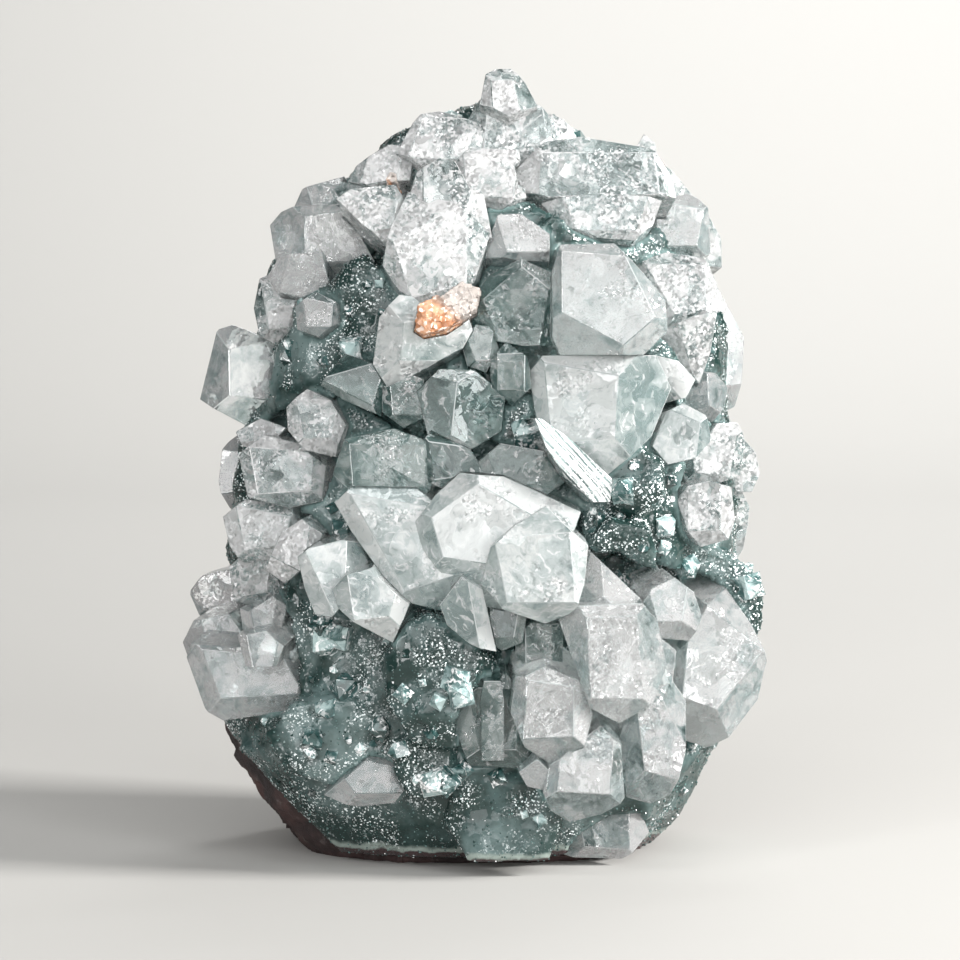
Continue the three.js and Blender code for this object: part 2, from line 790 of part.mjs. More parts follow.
      outline: [[220, 482], [223, 446], [234, 436], [252, 456], [250, 500], [228, 508]],
      crest: [237, 470],
      proud: 2.5,
      facing: [-0.3, 0.1],
      lean: 0.5,
      bevels: [[234, 452, -0.2, 0.7], [236, 492, -0.2, -0.6]],
    },
  ],
  left_corner_crystal: [
    {
      outline: [[188, 594], [204, 576], [240, 567], [248, 590], [236, 612], [204, 618]],
      crest: [220, 592],
      proud: 4,
      facing: [-0.15, 0.15],
      lean: 0.5,
      bevels: [[200, 594, -0.7, 0], [222, 606, 0, -0.6], [238, 588, 0.6, 0.1]],
    },
  ],
  lower_left_crystals: [
    {
      outline: [[185, 660], [192, 644], [284, 648], [312, 690], [288, 710], [222, 722], [206, 708]],
      crest: [246, 672],
      proud: 6,
      facing: [-0.05, 0.12],
      lean: 0.5,
      bevels: [[210, 675, -0.6, -0.1], [250, 655, 0, 0.8], [300, 680, 0.5, 0], [250, 698, 0, -0.6]],
    },
    {
      outline: [[188, 640], [202, 616], [240, 607], [257, 624], [250, 650], [198, 656]],
      crest: [226, 630],
      proud: 13,
      root: 5,
      facing: [-0.1, 0.25],
      lean: 0.5,
      bevels: [[204, 634, -0.7, 0.1], [226, 646, 0, -0.5]],
    },
    {
      outline: [[240, 634], [270, 628], [286, 644], [280, 662], [250, 662]],
      crest: [262, 645],
      proud: 7.5,
      facing: [0.05, 0.15],
      bevels: [[248, 646, -0.7, 0], [276, 648, 0.6, 0]],
    },
    {
      outline: [[240, 604], [268, 590], [286, 606], [280, 640], [246, 640]],
      crest: [262, 608],
      proud: 4,
      facing: [0, 0.1],
      bevels: [[250, 610, -0.5, 0], [274, 610, 0.6, 0]],
    },
  ],
  right_milky_crystal: [
    {
      outline: [[650, 446], [664, 412], [682, 404], [702, 416], [708, 440], [690, 458], [664, 464]],
      crest: [682, 430],
      proud: 6,
      facing: [-0.15, 0.1],
      bevels: [[684, 416, 0.1, 0.7], [698, 434, 0.6, 0]],
    },
  ],
  right_rim_crystals: [
    {
      outline: [
        [676, 466], [696, 444], [716, 424], [738, 424], [744, 442], [738, 474], [712, 484], [688, 487],
      ],
      crest: [712, 454],
      proud: 5,
      facing: [0.1, 0.1],
      bevels: [[694, 462, -0.6, 0], [724, 434, 0.2, 0.7], [732, 456, 0.7, 0], [708, 474, 0, -0.6]],
    },
    {
      outline: [
        [676, 500], [684, 486], [706, 481], [729, 487], [733, 520], [726, 538], [700, 546], [684, 530],
      ],
      crest: [702, 508],
      proud: 6,
      facing: [0, 0.05],
      bevels: [[688, 508, -0.55, 0.05], [720, 508, 0.6, 0.05], [702, 530, 0, -0.5]],
    },
  ],
  right_edge_crystals: [
    {
      outline: [[728, 474], [741, 436], [753, 454], [757, 474], [748, 491], [732, 491]],
      crest: [742, 468],
      proud: 3,
      facing: [0.15, 0.05],
      lean: 0.5,
      bevels: [[734, 468, -0.6, 0], [744, 450, 0.1, 0.6]],
    },
    {
      outline: [[722, 500], [734, 478], [752, 478], [747, 524], [742, 548], [734, 561], [722, 540]],
      crest: [737, 516],
      proud: 1.5,
      facing: [0.25, 0],
      lean: 0.5,
      bevels: [[730, 516, -0.4, 0]],
    },
  ],
  foot_crystals: [
    {
      outline: [
        [453, 726], [468, 688], [484, 677], [506, 677], [530, 700], [546, 752], [520, 770], [470, 766],
      ],
      crest: [494, 716],
      proud: 4,
      facing: [0, 0.05],
      bevels: [[474, 720, -0.3, 0], [516, 716, 0.35, 0.05], [494, 690, 0, 0.7], [496, 752, 0, -0.4]],
    },
    {
      outline: [[481, 700], [484, 679], [500, 679], [503, 700], [503, 758], [482, 758]],
      crest: [492, 710],
      proud: 5.5,
      facing: [0, 0],
    },
  ],
  flake_crystal: [
    {
      outline: [[319, 797], [345, 777], [362, 760], [394, 767], [407, 785], [394, 804], [360, 807]],
      crest: [370, 782],
      proud: 4.5,
      facing: [0.1, 0.2],
      bevels: [[350, 790, -0.4, -0.2], [376, 796, 0.1, -0.6]],
    },
  ],
  corner_crystal: [
    {
      outline: [[565, 858], [574, 836], [608, 812], [640, 814], [650, 838], [622, 860]],
      crest: [606, 836],
      proud: 4,
      facing: [0.05, 0.1],
      bevels: [[584, 842, -0.5, 0], [630, 832, 0.5, 0.1], [604, 852, 0, -0.5]],
    },
  ],
  recess_crystals: [
    {
      outline: [[484, 616], [504, 600], [526, 614], [522, 640], [502, 650], [486, 638]],
      crest: [504, 622],
      proud: 5,
      facing: [0, 0.1],
      bevels: [[492, 624, -0.6, 0], [516, 624, 0.6, 0], [504, 638, 0, -0.5]],
    },
    {
      outline: [[516, 636], [530, 622], [562, 624], [562, 664], [532, 670], [516, 654]],
      crest: [540, 642],
      proud: 4,
      facing: [0, 0],
      bevels: [[526, 644, -0.5, 0], [552, 644, 0.5, 0]],
    },
  ],
};

const STILBITE = {
  stilbite_sheaf: [
    {
      outline: [[415, 332], [420, 307], [438, 298], [452, 310], [461, 322], [446, 333], [424, 338]],
      crest: [438, 316],
      proud: 9,
      root: 3,
      facing: [0.05, 0.1],
      bevels: [[424, 320, -0.6, -0.2], [440, 304, 0, 0.7], [454, 320, 0.6, -0.1]],
    },
    {
      outline: [[438, 304], [462, 284], [480, 290], [476, 312], [458, 324]],
      crest: [460, 302],
      proud: 8.5,
      root: 3,
      facing: [0.3, 0.2],
      bevels: [[450, 310, -0.4, -0.3]],
    },
  ],
  stilbite_speck: [
    {
      outline: [[387, 184], [391, 177], [397, 178], [398, 186], [392, 189]],
      crest: [392, 182],
      proud: 5.5,
      root: 2,
      facing: [0, 0.2],
    },
  ],
};

// Blocks that the green crust has grown right over, so that they are part of it.
const CRUSTED_BLOCKS = [
  {
    outline: [
      [384, 660], [410, 622], [440, 614], [470, 638], [492, 662], [486, 722], [454, 748], [410, 742],
      [390, 706],
    ],
    crest: [440, 660],
    proud: 5,
    facing: [0.02, 0.12],
    bevels: [[405, 680, -0.5, 0], [440, 720, 0, -0.5], [470, 690, 0.5, 0]],
  },
  {
    outline: [[394, 748], [420, 730], [450, 744], [454, 786], [420, 798], [394, 782]],
    crest: [424, 760],
    proud: 4,
    facing: [0, 0.1],
    bevels: [[404, 764, -0.5, 0], [444, 764, 0.5, 0]],
  },
  {
    outline: [[446, 826], [456, 788], [484, 768], [540, 780], [562, 822], [548, 858], [470, 858]],
    crest: [504, 806],
    proud: 5,
    facing: [0.03, 0.05],
    bevels: [[504, 784, 0, 0.6], [464, 816, -0.4, 0], [545, 824, 0.4, 0]],
  },
  {
    outline: [
      [648, 560], [664, 542], [702, 546], [738, 562], [763, 586], [764, 610], [756, 636], [720, 626],
      [660, 590],
    ],
    crest: [706, 580],
    proud: 3,
    facing: [0.12, 0.2],
    lean: 0.5,
    bevels: [[740, 598, 0.6, 0.1], [700, 606, 0, -0.5]],
  },
  {
    outline: [[604, 470], [616, 448], [640, 446], [660, 462], [662, 496], [630, 516], [606, 500]],
    crest: [632, 474],
    proud: 4,
    facing: [0.05, 0.15],
    bevels: [[614, 480, -0.5, 0], [652, 480, 0.5, 0], [632, 498, 0, -0.5]],
  },
  {
    outline: [[590, 540], [612, 520], [650, 530], [654, 570], [636, 590], [606, 574]],
    crest: [622, 548],
    proud: 4.5,
    facing: [0, 0.1],
    bevels: [[602, 550, -0.5, 0], [644, 552, 0.5, 0], [624, 572, 0, -0.5]],
  },
  {
    outline: [[262, 740], [290, 706], [340, 700], [384, 724], [384, 770], [340, 790], [290, 776]],
    crest: [326, 736],
    proud: 3,
    facing: [-0.05, 0.12],
    bevels: [[290, 744, -0.4, 0], [360, 744, 0.4, 0], [330, 768, 0, -0.4]],
  },
];

// Small druse crystals fused to the crust, on the front and round the rim.
const DRUSE_COUNT = 6;
const DRUSE_RADII = [2.2, 3.6];
const DRUSE_FIELD = { column: 478, row: 500, across: 255, down: 330 };

function druseShape(random) {
  const turn = random() * 2 * Math.PI;
  const reach = Math.sqrt(random());
  const { column, row, across, down } = DRUSE_FIELD;
  const crest = [column + across * reach * Math.cos(turn), row + down * reach * Math.sin(turn)];
  const radius = THREE.MathUtils.lerp(...DRUSE_RADII, random()) / PIXEL;
  const start = random() * Math.PI;
  const outline = [0, 1, 2, 3].map((k) => {
    const angle = start + (k * Math.PI) / 2 + 0.25 * (random() - 0.5);
    return [crest[0] + radius * Math.cos(angle), crest[1] + radius * Math.sin(angle)];
  });
  return { outline, crest, proud: 1.6, root: 3, facing: [random() - 0.5, random() - 0.3] };
}

// Planes that cut something off, which keep the side that the normal points to. The crust's own planes part
// it from the bare basalt below and behind it.
const CRUST_EDGES = [
  { normal: [0.71, 0, 0.71], distance: -13 },
  { normal: [-0.9, 0, 0.44], distance: -25.5 },
  { normal: [0, 0.05, 1], distance: 0.8 },
  { normal: [0.08, -0.98, 0.05], distance: -3.5 },
  { normal: [-0.06, -0.98, -0.1], distance: -12 },
];
const BROKEN_FACES = [
  { normal: [0.08, -1, -0.1], distance: -28 },
  { normal: [-0.72, -0.69, 0], distance: -33.5 },
  { normal: [0.75, -0.66, 0.05], distance: -31.5 },
  { normal: [0.15, -0.75, -0.64], distance: -71.5 },
  { normal: [0.55, -0.6, -0.58], distance: -70 },
  { normal: [-0.5, -0.6, -0.62], distance: -74 },
];

function trimmed(solid, planes, grown = 0) {
  const trim = (rest, { normal, distance }) => rest.trimByPlane(normal, distance - grown);
  return planes.reduce(trim, solid);
}

function mineral(color, roughness, opacity = 1) {
  return new THREE.MeshStandardMaterial({ color, roughness, opacity, transparent: opacity < 1 });
}

const MATERIALS = {
  clear: mineral(0xdfe6e4, 0.08, 0.6),
  milky: mineral(0xe9edec, 0.2, 0.8),
  grey_green: mineral(0x7f9492, 0.15, 0.7),
  stilbite: mineral(0xe2956c, 0.4),
  crust: mineral(0x41605b, 0.45),
  basalt: mineral(0x4a3b39, 0.8),
};
const FINISH = {
  milky_edge_crystal: "milky",
  milky_block_crystal: "milky",
  centre_crystals: "milky",
  centre_left_crystals: "milky",
  grey_green_crystals: "grey_green",
  grey_lower_crystals: "grey_green",
  grey_upper_crystals: "grey_green",
  foot_crystals: "grey_green",
  recess_crystals: "grey_green",
  stilbite_sheaf: "stilbite",
  stilbite_speck: "stilbite",
};

const cluster = new THREE.Group();
cluster.name = "apophyllite_cluster";

function addPiece(name, solid, material) {
  const mesh = new THREE.Mesh(geometryOf(solid), material);
  mesh.name = name;
  cluster.add(mesh);
}

// The pieces further forward come first and stay whole. Each later one is cut clear of them.
const rooms = [];
const sockets = [];
for (const [name, shapes] of Object.entries({ ...STILBITE, ...GROUPS })) {
  const group = joined(shapes.map((shape) => crystal(shape)));
  addPiece(name, mainBody(cutBy(group, rooms)), MATERIALS[FINISH[name] ?? "clear"]);
  rooms.push(...shapes.map((shape) => socket([shape])));
  sockets.push(socket(shapes));
}

const random = dice(11);
const druse = Array.from({ length: DRUSE_COUNT }, () => crystal(druseShape(random)));
const blocks = CRUSTED_BLOCKS.map((shape) => crystal(shape));
const skin = rock({ front: CRUST, pitch: 4.5, height: 1.6 });
const crust = cutBy(trimmed(joined([skin, ...druse, ...blocks]), CRUST_EDGES), sockets);
addPiece("green_crust", mainBody(crust), MATERIALS.crust);

const everything = solidOf(new THREE.BoxGeometry(4 * HEIGHT, 4 * HEIGHT, 4 * HEIGHT));
const underCrust = trimmed(everything, CRUST_EDGES, GAP);
const basalt = cutBy(trimmed(rock({}), BROKEN_FACES), [underCrust, ...sockets]);
addPiece("basalt_matrix", mainBody(basalt), MATERIALS.basalt);

// The origin is on the foot, under the middle of the whole cluster.
const box = new THREE.Box3().setFromObject(cluster);
const centre = box.getCenter(new THREE.Vector3());
cluster.position.set(-centre.x, -centre.y, -box.min.z);

export default cluster;
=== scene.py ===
"""Apophyllite cluster: clear, milky and grey-green crystals on a green crust over basalt, in a pale studio."""

from __future__ import annotations

import logging
import math
import random
from dataclasses import dataclass
from enum import Enum
from typing import Any, Callable

import bmesh
import bpy
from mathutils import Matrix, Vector, noise
from mathutils.bvhtree import BVHTree


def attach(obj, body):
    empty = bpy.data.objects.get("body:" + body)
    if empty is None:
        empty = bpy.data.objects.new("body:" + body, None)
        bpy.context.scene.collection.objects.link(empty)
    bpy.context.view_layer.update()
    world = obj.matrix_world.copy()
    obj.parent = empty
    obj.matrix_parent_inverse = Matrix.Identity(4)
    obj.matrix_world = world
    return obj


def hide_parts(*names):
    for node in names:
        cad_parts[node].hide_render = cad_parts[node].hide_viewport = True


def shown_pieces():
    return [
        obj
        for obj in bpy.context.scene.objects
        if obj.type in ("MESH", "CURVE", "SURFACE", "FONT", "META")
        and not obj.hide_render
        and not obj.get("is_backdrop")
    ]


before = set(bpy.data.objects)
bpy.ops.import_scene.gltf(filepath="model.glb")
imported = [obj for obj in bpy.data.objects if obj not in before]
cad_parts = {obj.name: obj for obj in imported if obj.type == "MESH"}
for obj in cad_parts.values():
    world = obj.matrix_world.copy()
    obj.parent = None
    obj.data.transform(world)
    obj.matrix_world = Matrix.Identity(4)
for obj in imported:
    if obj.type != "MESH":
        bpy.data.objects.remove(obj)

LOG = logging.getLogger("apophyllite")
# The relief's noise starts from the clock unless it has a seed.
RELIEF_SEED = 7
MM = 0.001
CM2 = 1e-4
FULL_TURN = 6.28
WHITE = "FFFFFF"
MIDDLE = (0.5, 0.5, 0.5)
APOPHYLLITE_IOR = 1.535

Colour = tuple[float, float, float, float]
Point = tuple[float, float, float]
Span = tuple[float, float]
Socket = bpy.types.NodeSocket


def linear(code: str) -> Colour:
    """Turns an sRGB hex colour into linear RGBA.

    Args:
        code: Six hex digits.

    Returns:
        Linear red, green, blue and an alpha of 1.
    """
    parts = [int(code[i : i + 2], 16) / 255 for i in (0, 2, 4)]
    red, green, blue = (c / 12.92 if c <= 0.04045 else ((c + 0.055) / 1.055) ** 2.4 for c in parts)
    return red, green, blue, 1.0


def clamped(value: float) -> float:
    """Keeps a value between 0 and 1.

    Args:
        value: Any number.

    Returns:
        The number, or the nearer end of the range.
    """
    return max(0.0, min(1.0, value))


class Slot(Enum):
    """The material slots."""

    CLEAR = "clear_apophyllite"
    MILKY = "milky_apophyllite"
    GREY = "grey_green_apophyllite"
    STILBITE = "stilbite"
    DRUSE = "green_druse"
    BASALT = "basalt"


class Mark(Enum):
    """The numbers that a mesh carries for its material or its grains, each from 0 to 1."""

    FACET = "facet"
    ROOTED = "rooted"
    RIND = "rind"
    BARE = "bare"
    INNER = "inner"
    FAN = "fan"


class Grain(Enum):
    """Which way a crystal's growth lines run, as the direction across them."""

    NONE = (0.0, 0.0, 0.0)
    SLANTED = (0.75, 0.2, 0.65)


class Nodes:
    """Adds nodes to one tree, with their settings and links."""

    def __init__(self, tree: bpy.types.NodeTree) -> None:
        """Takes the tree to add to.

        Args:
            tree: The node tree.
        """
        self.tree = tree

    def add(self, kind: str, inputs: dict[Any, Any] | None = None, **settings: Any) -> bpy.types.Node:
        """Adds one node.

        Args:
            kind: The node's type name.
            inputs: Input name or index to a value, or to an output socket to link.
            **settings: Properties of the node itself.

        Returns:
            The new node.
        """
        node = self.tree.nodes.new(kind)
        for name, value in settings.items():
            setattr(node, name, value)
        for key, value in (inputs or {}).items():
            if isinstance(value, Socket):
                self.tree.links.new(value, node.inputs[key])
            else:
                node.inputs[key].default_value = value
        return node

    def math(self, operation: str, *values: Any) -> Socket:
        """Adds a math node.

        Args:
            operation: The operation.
            *values: Its numbers or sockets.

        Returns:
            The result socket.
        """
        return self.add("ShaderNodeMath", dict(enumerate(values)), operation=operation).outputs[0]

    def vector(self, operation: str, *values: Any) -> Socket:
        """Adds a vector math node.

        Args:
            operation: The operation.
            *values: Its vectors or sockets.

        Returns:
            The result socket.
        """
        inputs = dict(enumerate(values))
        if operation == "SCALE":
            inputs = {0: values[0], "Scale": values[1]}
        return self.add("ShaderNodeVectorMath", inputs, operation=operation).outputs[0]


class Shader(Nodes):
    """A new material's nodes."""

    def __init__(self, name: str) -> None:
        """Makes an empty material.

        Args:
            name: The real material's name.
        """
        self.material = bpy.data.materials.new(name)
        self.material.use_nodes = True
        self.material.node_tree.nodes.clear()
        super().__init__(self.material.node_tree)
        self.output = self.add("ShaderNodeOutputMaterial")

    def blend(self, factor: Any, first: Any, second: Any) -> Socket:
        """Mixes two colours.

        Args:
            factor: How much of the second colour.
            first: A colour or socket.
            second: A colour or socket.

        Returns:
            The mixed colour's socket.
        """
        inputs = {0: factor, 6: first, 7: second}
        return self.add("ShaderNodeMix", inputs, data_type="RGBA").outputs[2]

    def span(self, value: Any, ends: Span, most: float = 1.0) -> Socket:
        """Maps a value's range smoothly to one that starts at 0.

        Args:
            value: A socket.
            ends: The values that give 0 and the most.
            most: The largest result.

        Returns:
            The result socket.
        """
        inputs = {0: value, 1: ends[0], 2: ends[1], 4: most}
        return self.add("ShaderNodeMapRange", inputs, interpolation_type="SMOOTHSTEP").outputs[0]

    def place_mm(self) -> Socket:
        """Finds the point on the object.

        Returns:
            Its socket, in millimetres.
        """
        place = self.add("ShaderNodeTexCoord").outputs["Object"]
        return self.vector("SCALE", place, 1 / MM)

    def mark(self, mark: Mark) -> Socket:
        """Reads a number that the mesh carries.

        Args:
            mark: The number.

        Returns:
            Its socket.
        """
        return self.add("ShaderNodeAttribute", attribute_name=mark.value).outputs["Fac"]

    def noise(self, place: Any, size: float, detail: float = 3.0, rough: float = 0.55) -> Socket:
        """Adds soft patches.

        Args:
            place: The point in millimetres.
            size: Size of the largest patches in millimetres.
            detail: Number of finer layers.
            rough: Strength of the finer layers.

        Returns:
            The noise value's socket.
        """
        inputs = {"Vector": place, "Scale": 1 / size, "Detail": detail, "Roughness": rough}
        return self.add("ShaderNodeTexNoise", inputs).outputs[0]

    def cells(self, place: Any, size: float) -> Socket:
        """Adds cells with a random colour each.

        Args:
            place: The point in millimetres.
            size: Size of the cells in millimetres.

        Returns:
            The colour's socket.
        """
        return self.add("ShaderNodeTexVoronoi", {"Vector": place, "Scale": 1 / size}).outputs["Color"]

    def channel(self, colour: Any, index: int = 0) -> Socket:
        """Takes one channel of a colour.

        Args:
            colour: The colour's socket.
            index: The channel's number.

        Returns:
            The channel's socket.
        """
        return self.add("ShaderNodeSeparateColor", {0: colour}).outputs[index]

    def normal(self) -> Socket:
        """Finds the surface's normal.

        Returns:
            Its socket.
        """
        return self.add("ShaderNodeNewGeometry").outputs["Normal"]

    def lean(self, normal: Any, way: Any, amount: Any) -> Socket:
        """Leans a normal towards a direction.

        Args:
            normal: The normal.
            way: The direction.
            amount: How far it leans.

        Returns:
            The new normal's socket, not brought back to length 1.
        """
        return self.vector("ADD", normal, self.vector("SCALE", way, amount))

    def mosaic(self, normal: Any, cells: Any, tilt: Any) -> Socket:
        """Breaks a surface into flat patches that each face a slightly different way.

        Args:
            normal: The surface's normal.
            cells: The patches' random colours.
            tilt: How far they lean.

        Returns:
            The new normal's socket, not brought back to length 1.
        """
        return self.lean(normal, self.vector("SUBTRACT", cells, MIDDLE), tilt)

    def surface(self, inputs: dict[str, Any]) -> bpy.types.Material:
        """Gives the material its surface.

        Args:
            inputs: The surface's inputs by name.

        Returns:
            The material.
        """
        skin = self.add("ShaderNodeBsdfPrincipled", inputs)
        self.tree.links.new(skin.outputs[0], self.output.inputs["Surface"])
        return self.material

    def depth(self, colour: str, density: float) -> None:
        """Makes the inside take in light.

        Args:
            colour: The colour that it leaves.
            density: How much it takes in per metre.
        """
        inside = self.add("ShaderNodeVolumeAbsorption", {"Color": linear(colour), "Density": density})
        self.tree.links.new(inside.outputs[0], self.output.inputs["Volume"])


@dataclass(frozen=True)
class CrystalFinish:
    """Apophyllite: glassy faces over a clear to clouded body, with streaks, and patches of leaning cleavage
    specks whose glints are painted white into the colour.
    """

    name: str
    slot: Slot = Slot.CLEAR
    deep: str = "526A68"
    body: str = "C4D2D2"
    cloud: str = "FFFFFF"
    clouding: float = 0.0
    transmission: float = 0.76
    absorption: str = "C9D6D3"
    density: float = 25.0
    roughness: float = 0.03
    break_size: float = 3.4
    break_tilt: float = 0.25
    # How widely the glitter field spreads, with its leaning specks and their painted white glints.
    glitter: float = 0.5
    grain: Grain = Grain.NONE
    facet_shift: float = 40.0
    facet_clouding: float = 0.28
    cloud_size: float = 6.0
    drift: float = 5.0
    drift_scale: float = 0.3
    body_span: Span = (0.26, 0.5)
    cloud_span: Span = (0.46, 0.66)
    streak_size: float = 0.9
    streak_axis: Point = (0.3, 1.0, 0.2)
    streak_form: Point = (1.0, 1.0, 0.18)
    streak_lean: Point = (0.5, 0.3, 0.8)
    dark_streak: Span = (0.42, 0.26)
    white_streak: Span = (0.56, 0.68)
    field_size: float = 4.0
    speck_size: float = 0.36
    speck_span: Span = (0.55, 0.75)
    speck_tilt: float = 0.9
    line_scale: float = 2.4
    line_span: Span = (0.44, 0.58)
    coat: float = 0.7
    coat_roughness: float = 0.02

    def material(self) -> bpy.types.Material:
        """Builds the finish.

        Returns:
            The material.
        """
        shader = Shader(self.name)
        place = shader.place_mm()
        facet = shader.mark(Mark.FACET)
        shifted = shader.vector("ADD", place, shader.vector("SCALE", facet, self.facet_shift))
        drift = self.drifting(shader, shifted)
        inner = shader.cells(shader.vector("ADD", shifted, drift), self.break_size)
        cloud = self.clouds(shader, shifted, drift, inner, facet)
        streak = self.streaks(shader, shifted, drift, facet)
        field = self.field(shader, place, facet)
        speck = shader.cells(place, self.speck_size)
        bright = shader.math("MULTIPLY", shader.span(shader.channel(speck), self.speck_span), field)
        colour = shader.blend(shader.span(cloud, self.body_span), linear(self.deep), linear(self.body))
        colour = shader.blend(shader.span(cloud, self.cloud_span), colour, linear(self.cloud))
        colour = shader.blend(shader.span(streak, self.dark_streak, 0.5), colour, linear(self.deep))
        colour = shader.blend(shader.span(streak, self.white_streak, 0.85), colour, linear(WHITE))
        # Painted glints: specks in the glitter field are painted white into the base colour.
        colour = shader.blend(bright, colour, linear(WHITE))
        normal = shader.mosaic(shader.normal(), inner, self.break_tilt)
        normal = shader.mosaic(normal, speck, shader.math("MULTIPLY", field, self.speck_tilt))
        normal = shader.lean(normal, self.streak_lean, shader.math("MULTIPLY_ADD", streak, 0.4, -0.2))
        if self.grain is not Grain.NONE:
            stripe = self.stripes(shader, place, cloud)
            colour = shader.blend(stripe, colour, linear(WHITE))
            normal = shader.lean(normal, self.grain.value, shader.math("MULTIPLY_ADD", stripe, 0.6, -0.3))
        if self.density:
            shader.depth(self.absorption, self.density)
        return shader.surface(
            {
                "Base Color": colour,
                "Roughness": shader.math("MULTIPLY_ADD", field, 0.08, self.roughness),
                "IOR": APOPHYLLITE_IOR,
                "Transmission Weight": self.transmission,
                "Normal": shader.vector("NORMALIZE", normal),
                "Coat Weight": self.coat,
                "Coat Roughness": self.coat_roughness,
            }
        )

    def drifting(self, shader: Shader, shifted: Socket) -> Socket:
        """Makes an offset that bends straight patterns.

        Args:
            shader: The material's nodes.
            shifted: The point, moved apart for each face.

        Returns:
            The offset's socket.
        """
        inputs = {"Vector": shifted, "Scale": self.drift_scale, "Detail": 2.0}
        wander = shader.add("ShaderNodeTexNoise", inputs).outputs[1]
        return shader.vector("SCALE", shader.vector("SUBTRACT", wander, MIDDLE), self.drift)

    def clouds(self, shader: Shader, shifted: Socket, drift: Socket, inner: Socket, facet: Socket) -> Socket:
        """Clouds the body, with a step at each inner break and another brightness on each face.

        Args:
            shader: The material's nodes.
            shifted: The point, moved apart for each face.
            drift: The offset that bends the clouds.
            inner: The inner breaks' random colours.
            facet: The face's random number.

        Returns:
            The cloud value's socket.
        """
        bent = shader.vector("ADD", shifted, shader.vector("SCALE", drift, 2.0))
        cloud = shader.noise(bent, self.cloud_size, 5.0, 0.6)
        step = shader.math("SUBTRACT", shader.channel(inner, 1), 0.5)
        cloud = shader.math("MULTIPLY_ADD", step, 0.16, cloud)
        offset = shader.math("MULTIPLY_ADD", facet, self.facet_clouding, self.clouding - 0.12)
        return shader.math("ADD", cloud, offset)

    def streaks(self, shader: Shader, shifted: Socket, drift: Socket, facet: Socket) -> Socket:
        """Draws long wisps, in another direction on each face.

        Args:
            shader: The material's nodes.
            shifted: The point, moved apart for each face.
            drift: The offset that bends the wisps.
            facet: The face's random number.

        Returns:
            The streak value's socket.
        """
        angle = shader.math("MULTIPLY", facet, FULL_TURN)
        inputs = {"Vector": shifted, "Axis": self.streak_axis, "Angle": angle}
        turned = shader.add("ShaderNodeVectorRotate", inputs).outputs[0]
        drawn = shader.vector("MULTIPLY", shader.vector("ADD", turned, drift), self.streak_form)
        return shader.noise(drawn, self.streak_size, 4.0, 0.6)

    def field(self, shader: Shader, place: Socket, facet: Socket) -> Socket:
        """Finds where the glitter lies: there the specks lean their normals and are painted white as glints.

        Args:
            shader: The material's nodes.
            place: The point in millimetres.
            facet: The face's random number.

        Returns:
            The glitter's strength, from 0 to 1.
        """
        patch = shader.math("MULTIPLY_ADD", facet, 0.16, shader.noise(place, self.field_size, 4.0))
        spread = 0.25 * self.glitter
        return shader.span(patch, (0.72 - spread, 0.9 - spread))

    def stripes(self, shader: Shader, place: Socket, cloud: Socket) -> Socket:
        """Draws growth lines.

        Args:
            shader: The material's nodes.
            place: The point in millimetres.
            cloud: A value that makes the lines wander.

        Returns:
            The lines' strength.
        """
        ends = {0: place, 1: self.grain.value}
        across = shader.add("ShaderNodeVectorMath", ends, operation="DOT_PRODUCT").outputs["Value"]
        inputs = {"W": shader.math("MULTIPLY_ADD", cloud, 0.8, across), "Scale": self.line_scale, "Detail": 4.0}
        lines = shader.add("ShaderNodeTexNoise", inputs, noise_dimensions="1D").outputs[0]
        return shader.span(lines, self.line_span, 0.9)


@dataclass(frozen=True)
class RimHighlightFinish:
    """Painted edge highlights: some cut rims painted as a thin white line of light."""

    name: str = "worn_rim"
    colour: str = "EAF1F1"
    roughness: float = 0.15
    transmission: float = 0.7

    def material(self) -> bpy.types.Material:
        """Builds the finish.

        Returns:
            The material.
        """
        return Shader(self.name).surface(
            {
                "Base Color": linear(self.colour),
                "Roughness": self.roughness,
                "IOR": APOPHYLLITE_IOR,
                "Transmission Weight": self.transmission,
            }
        )


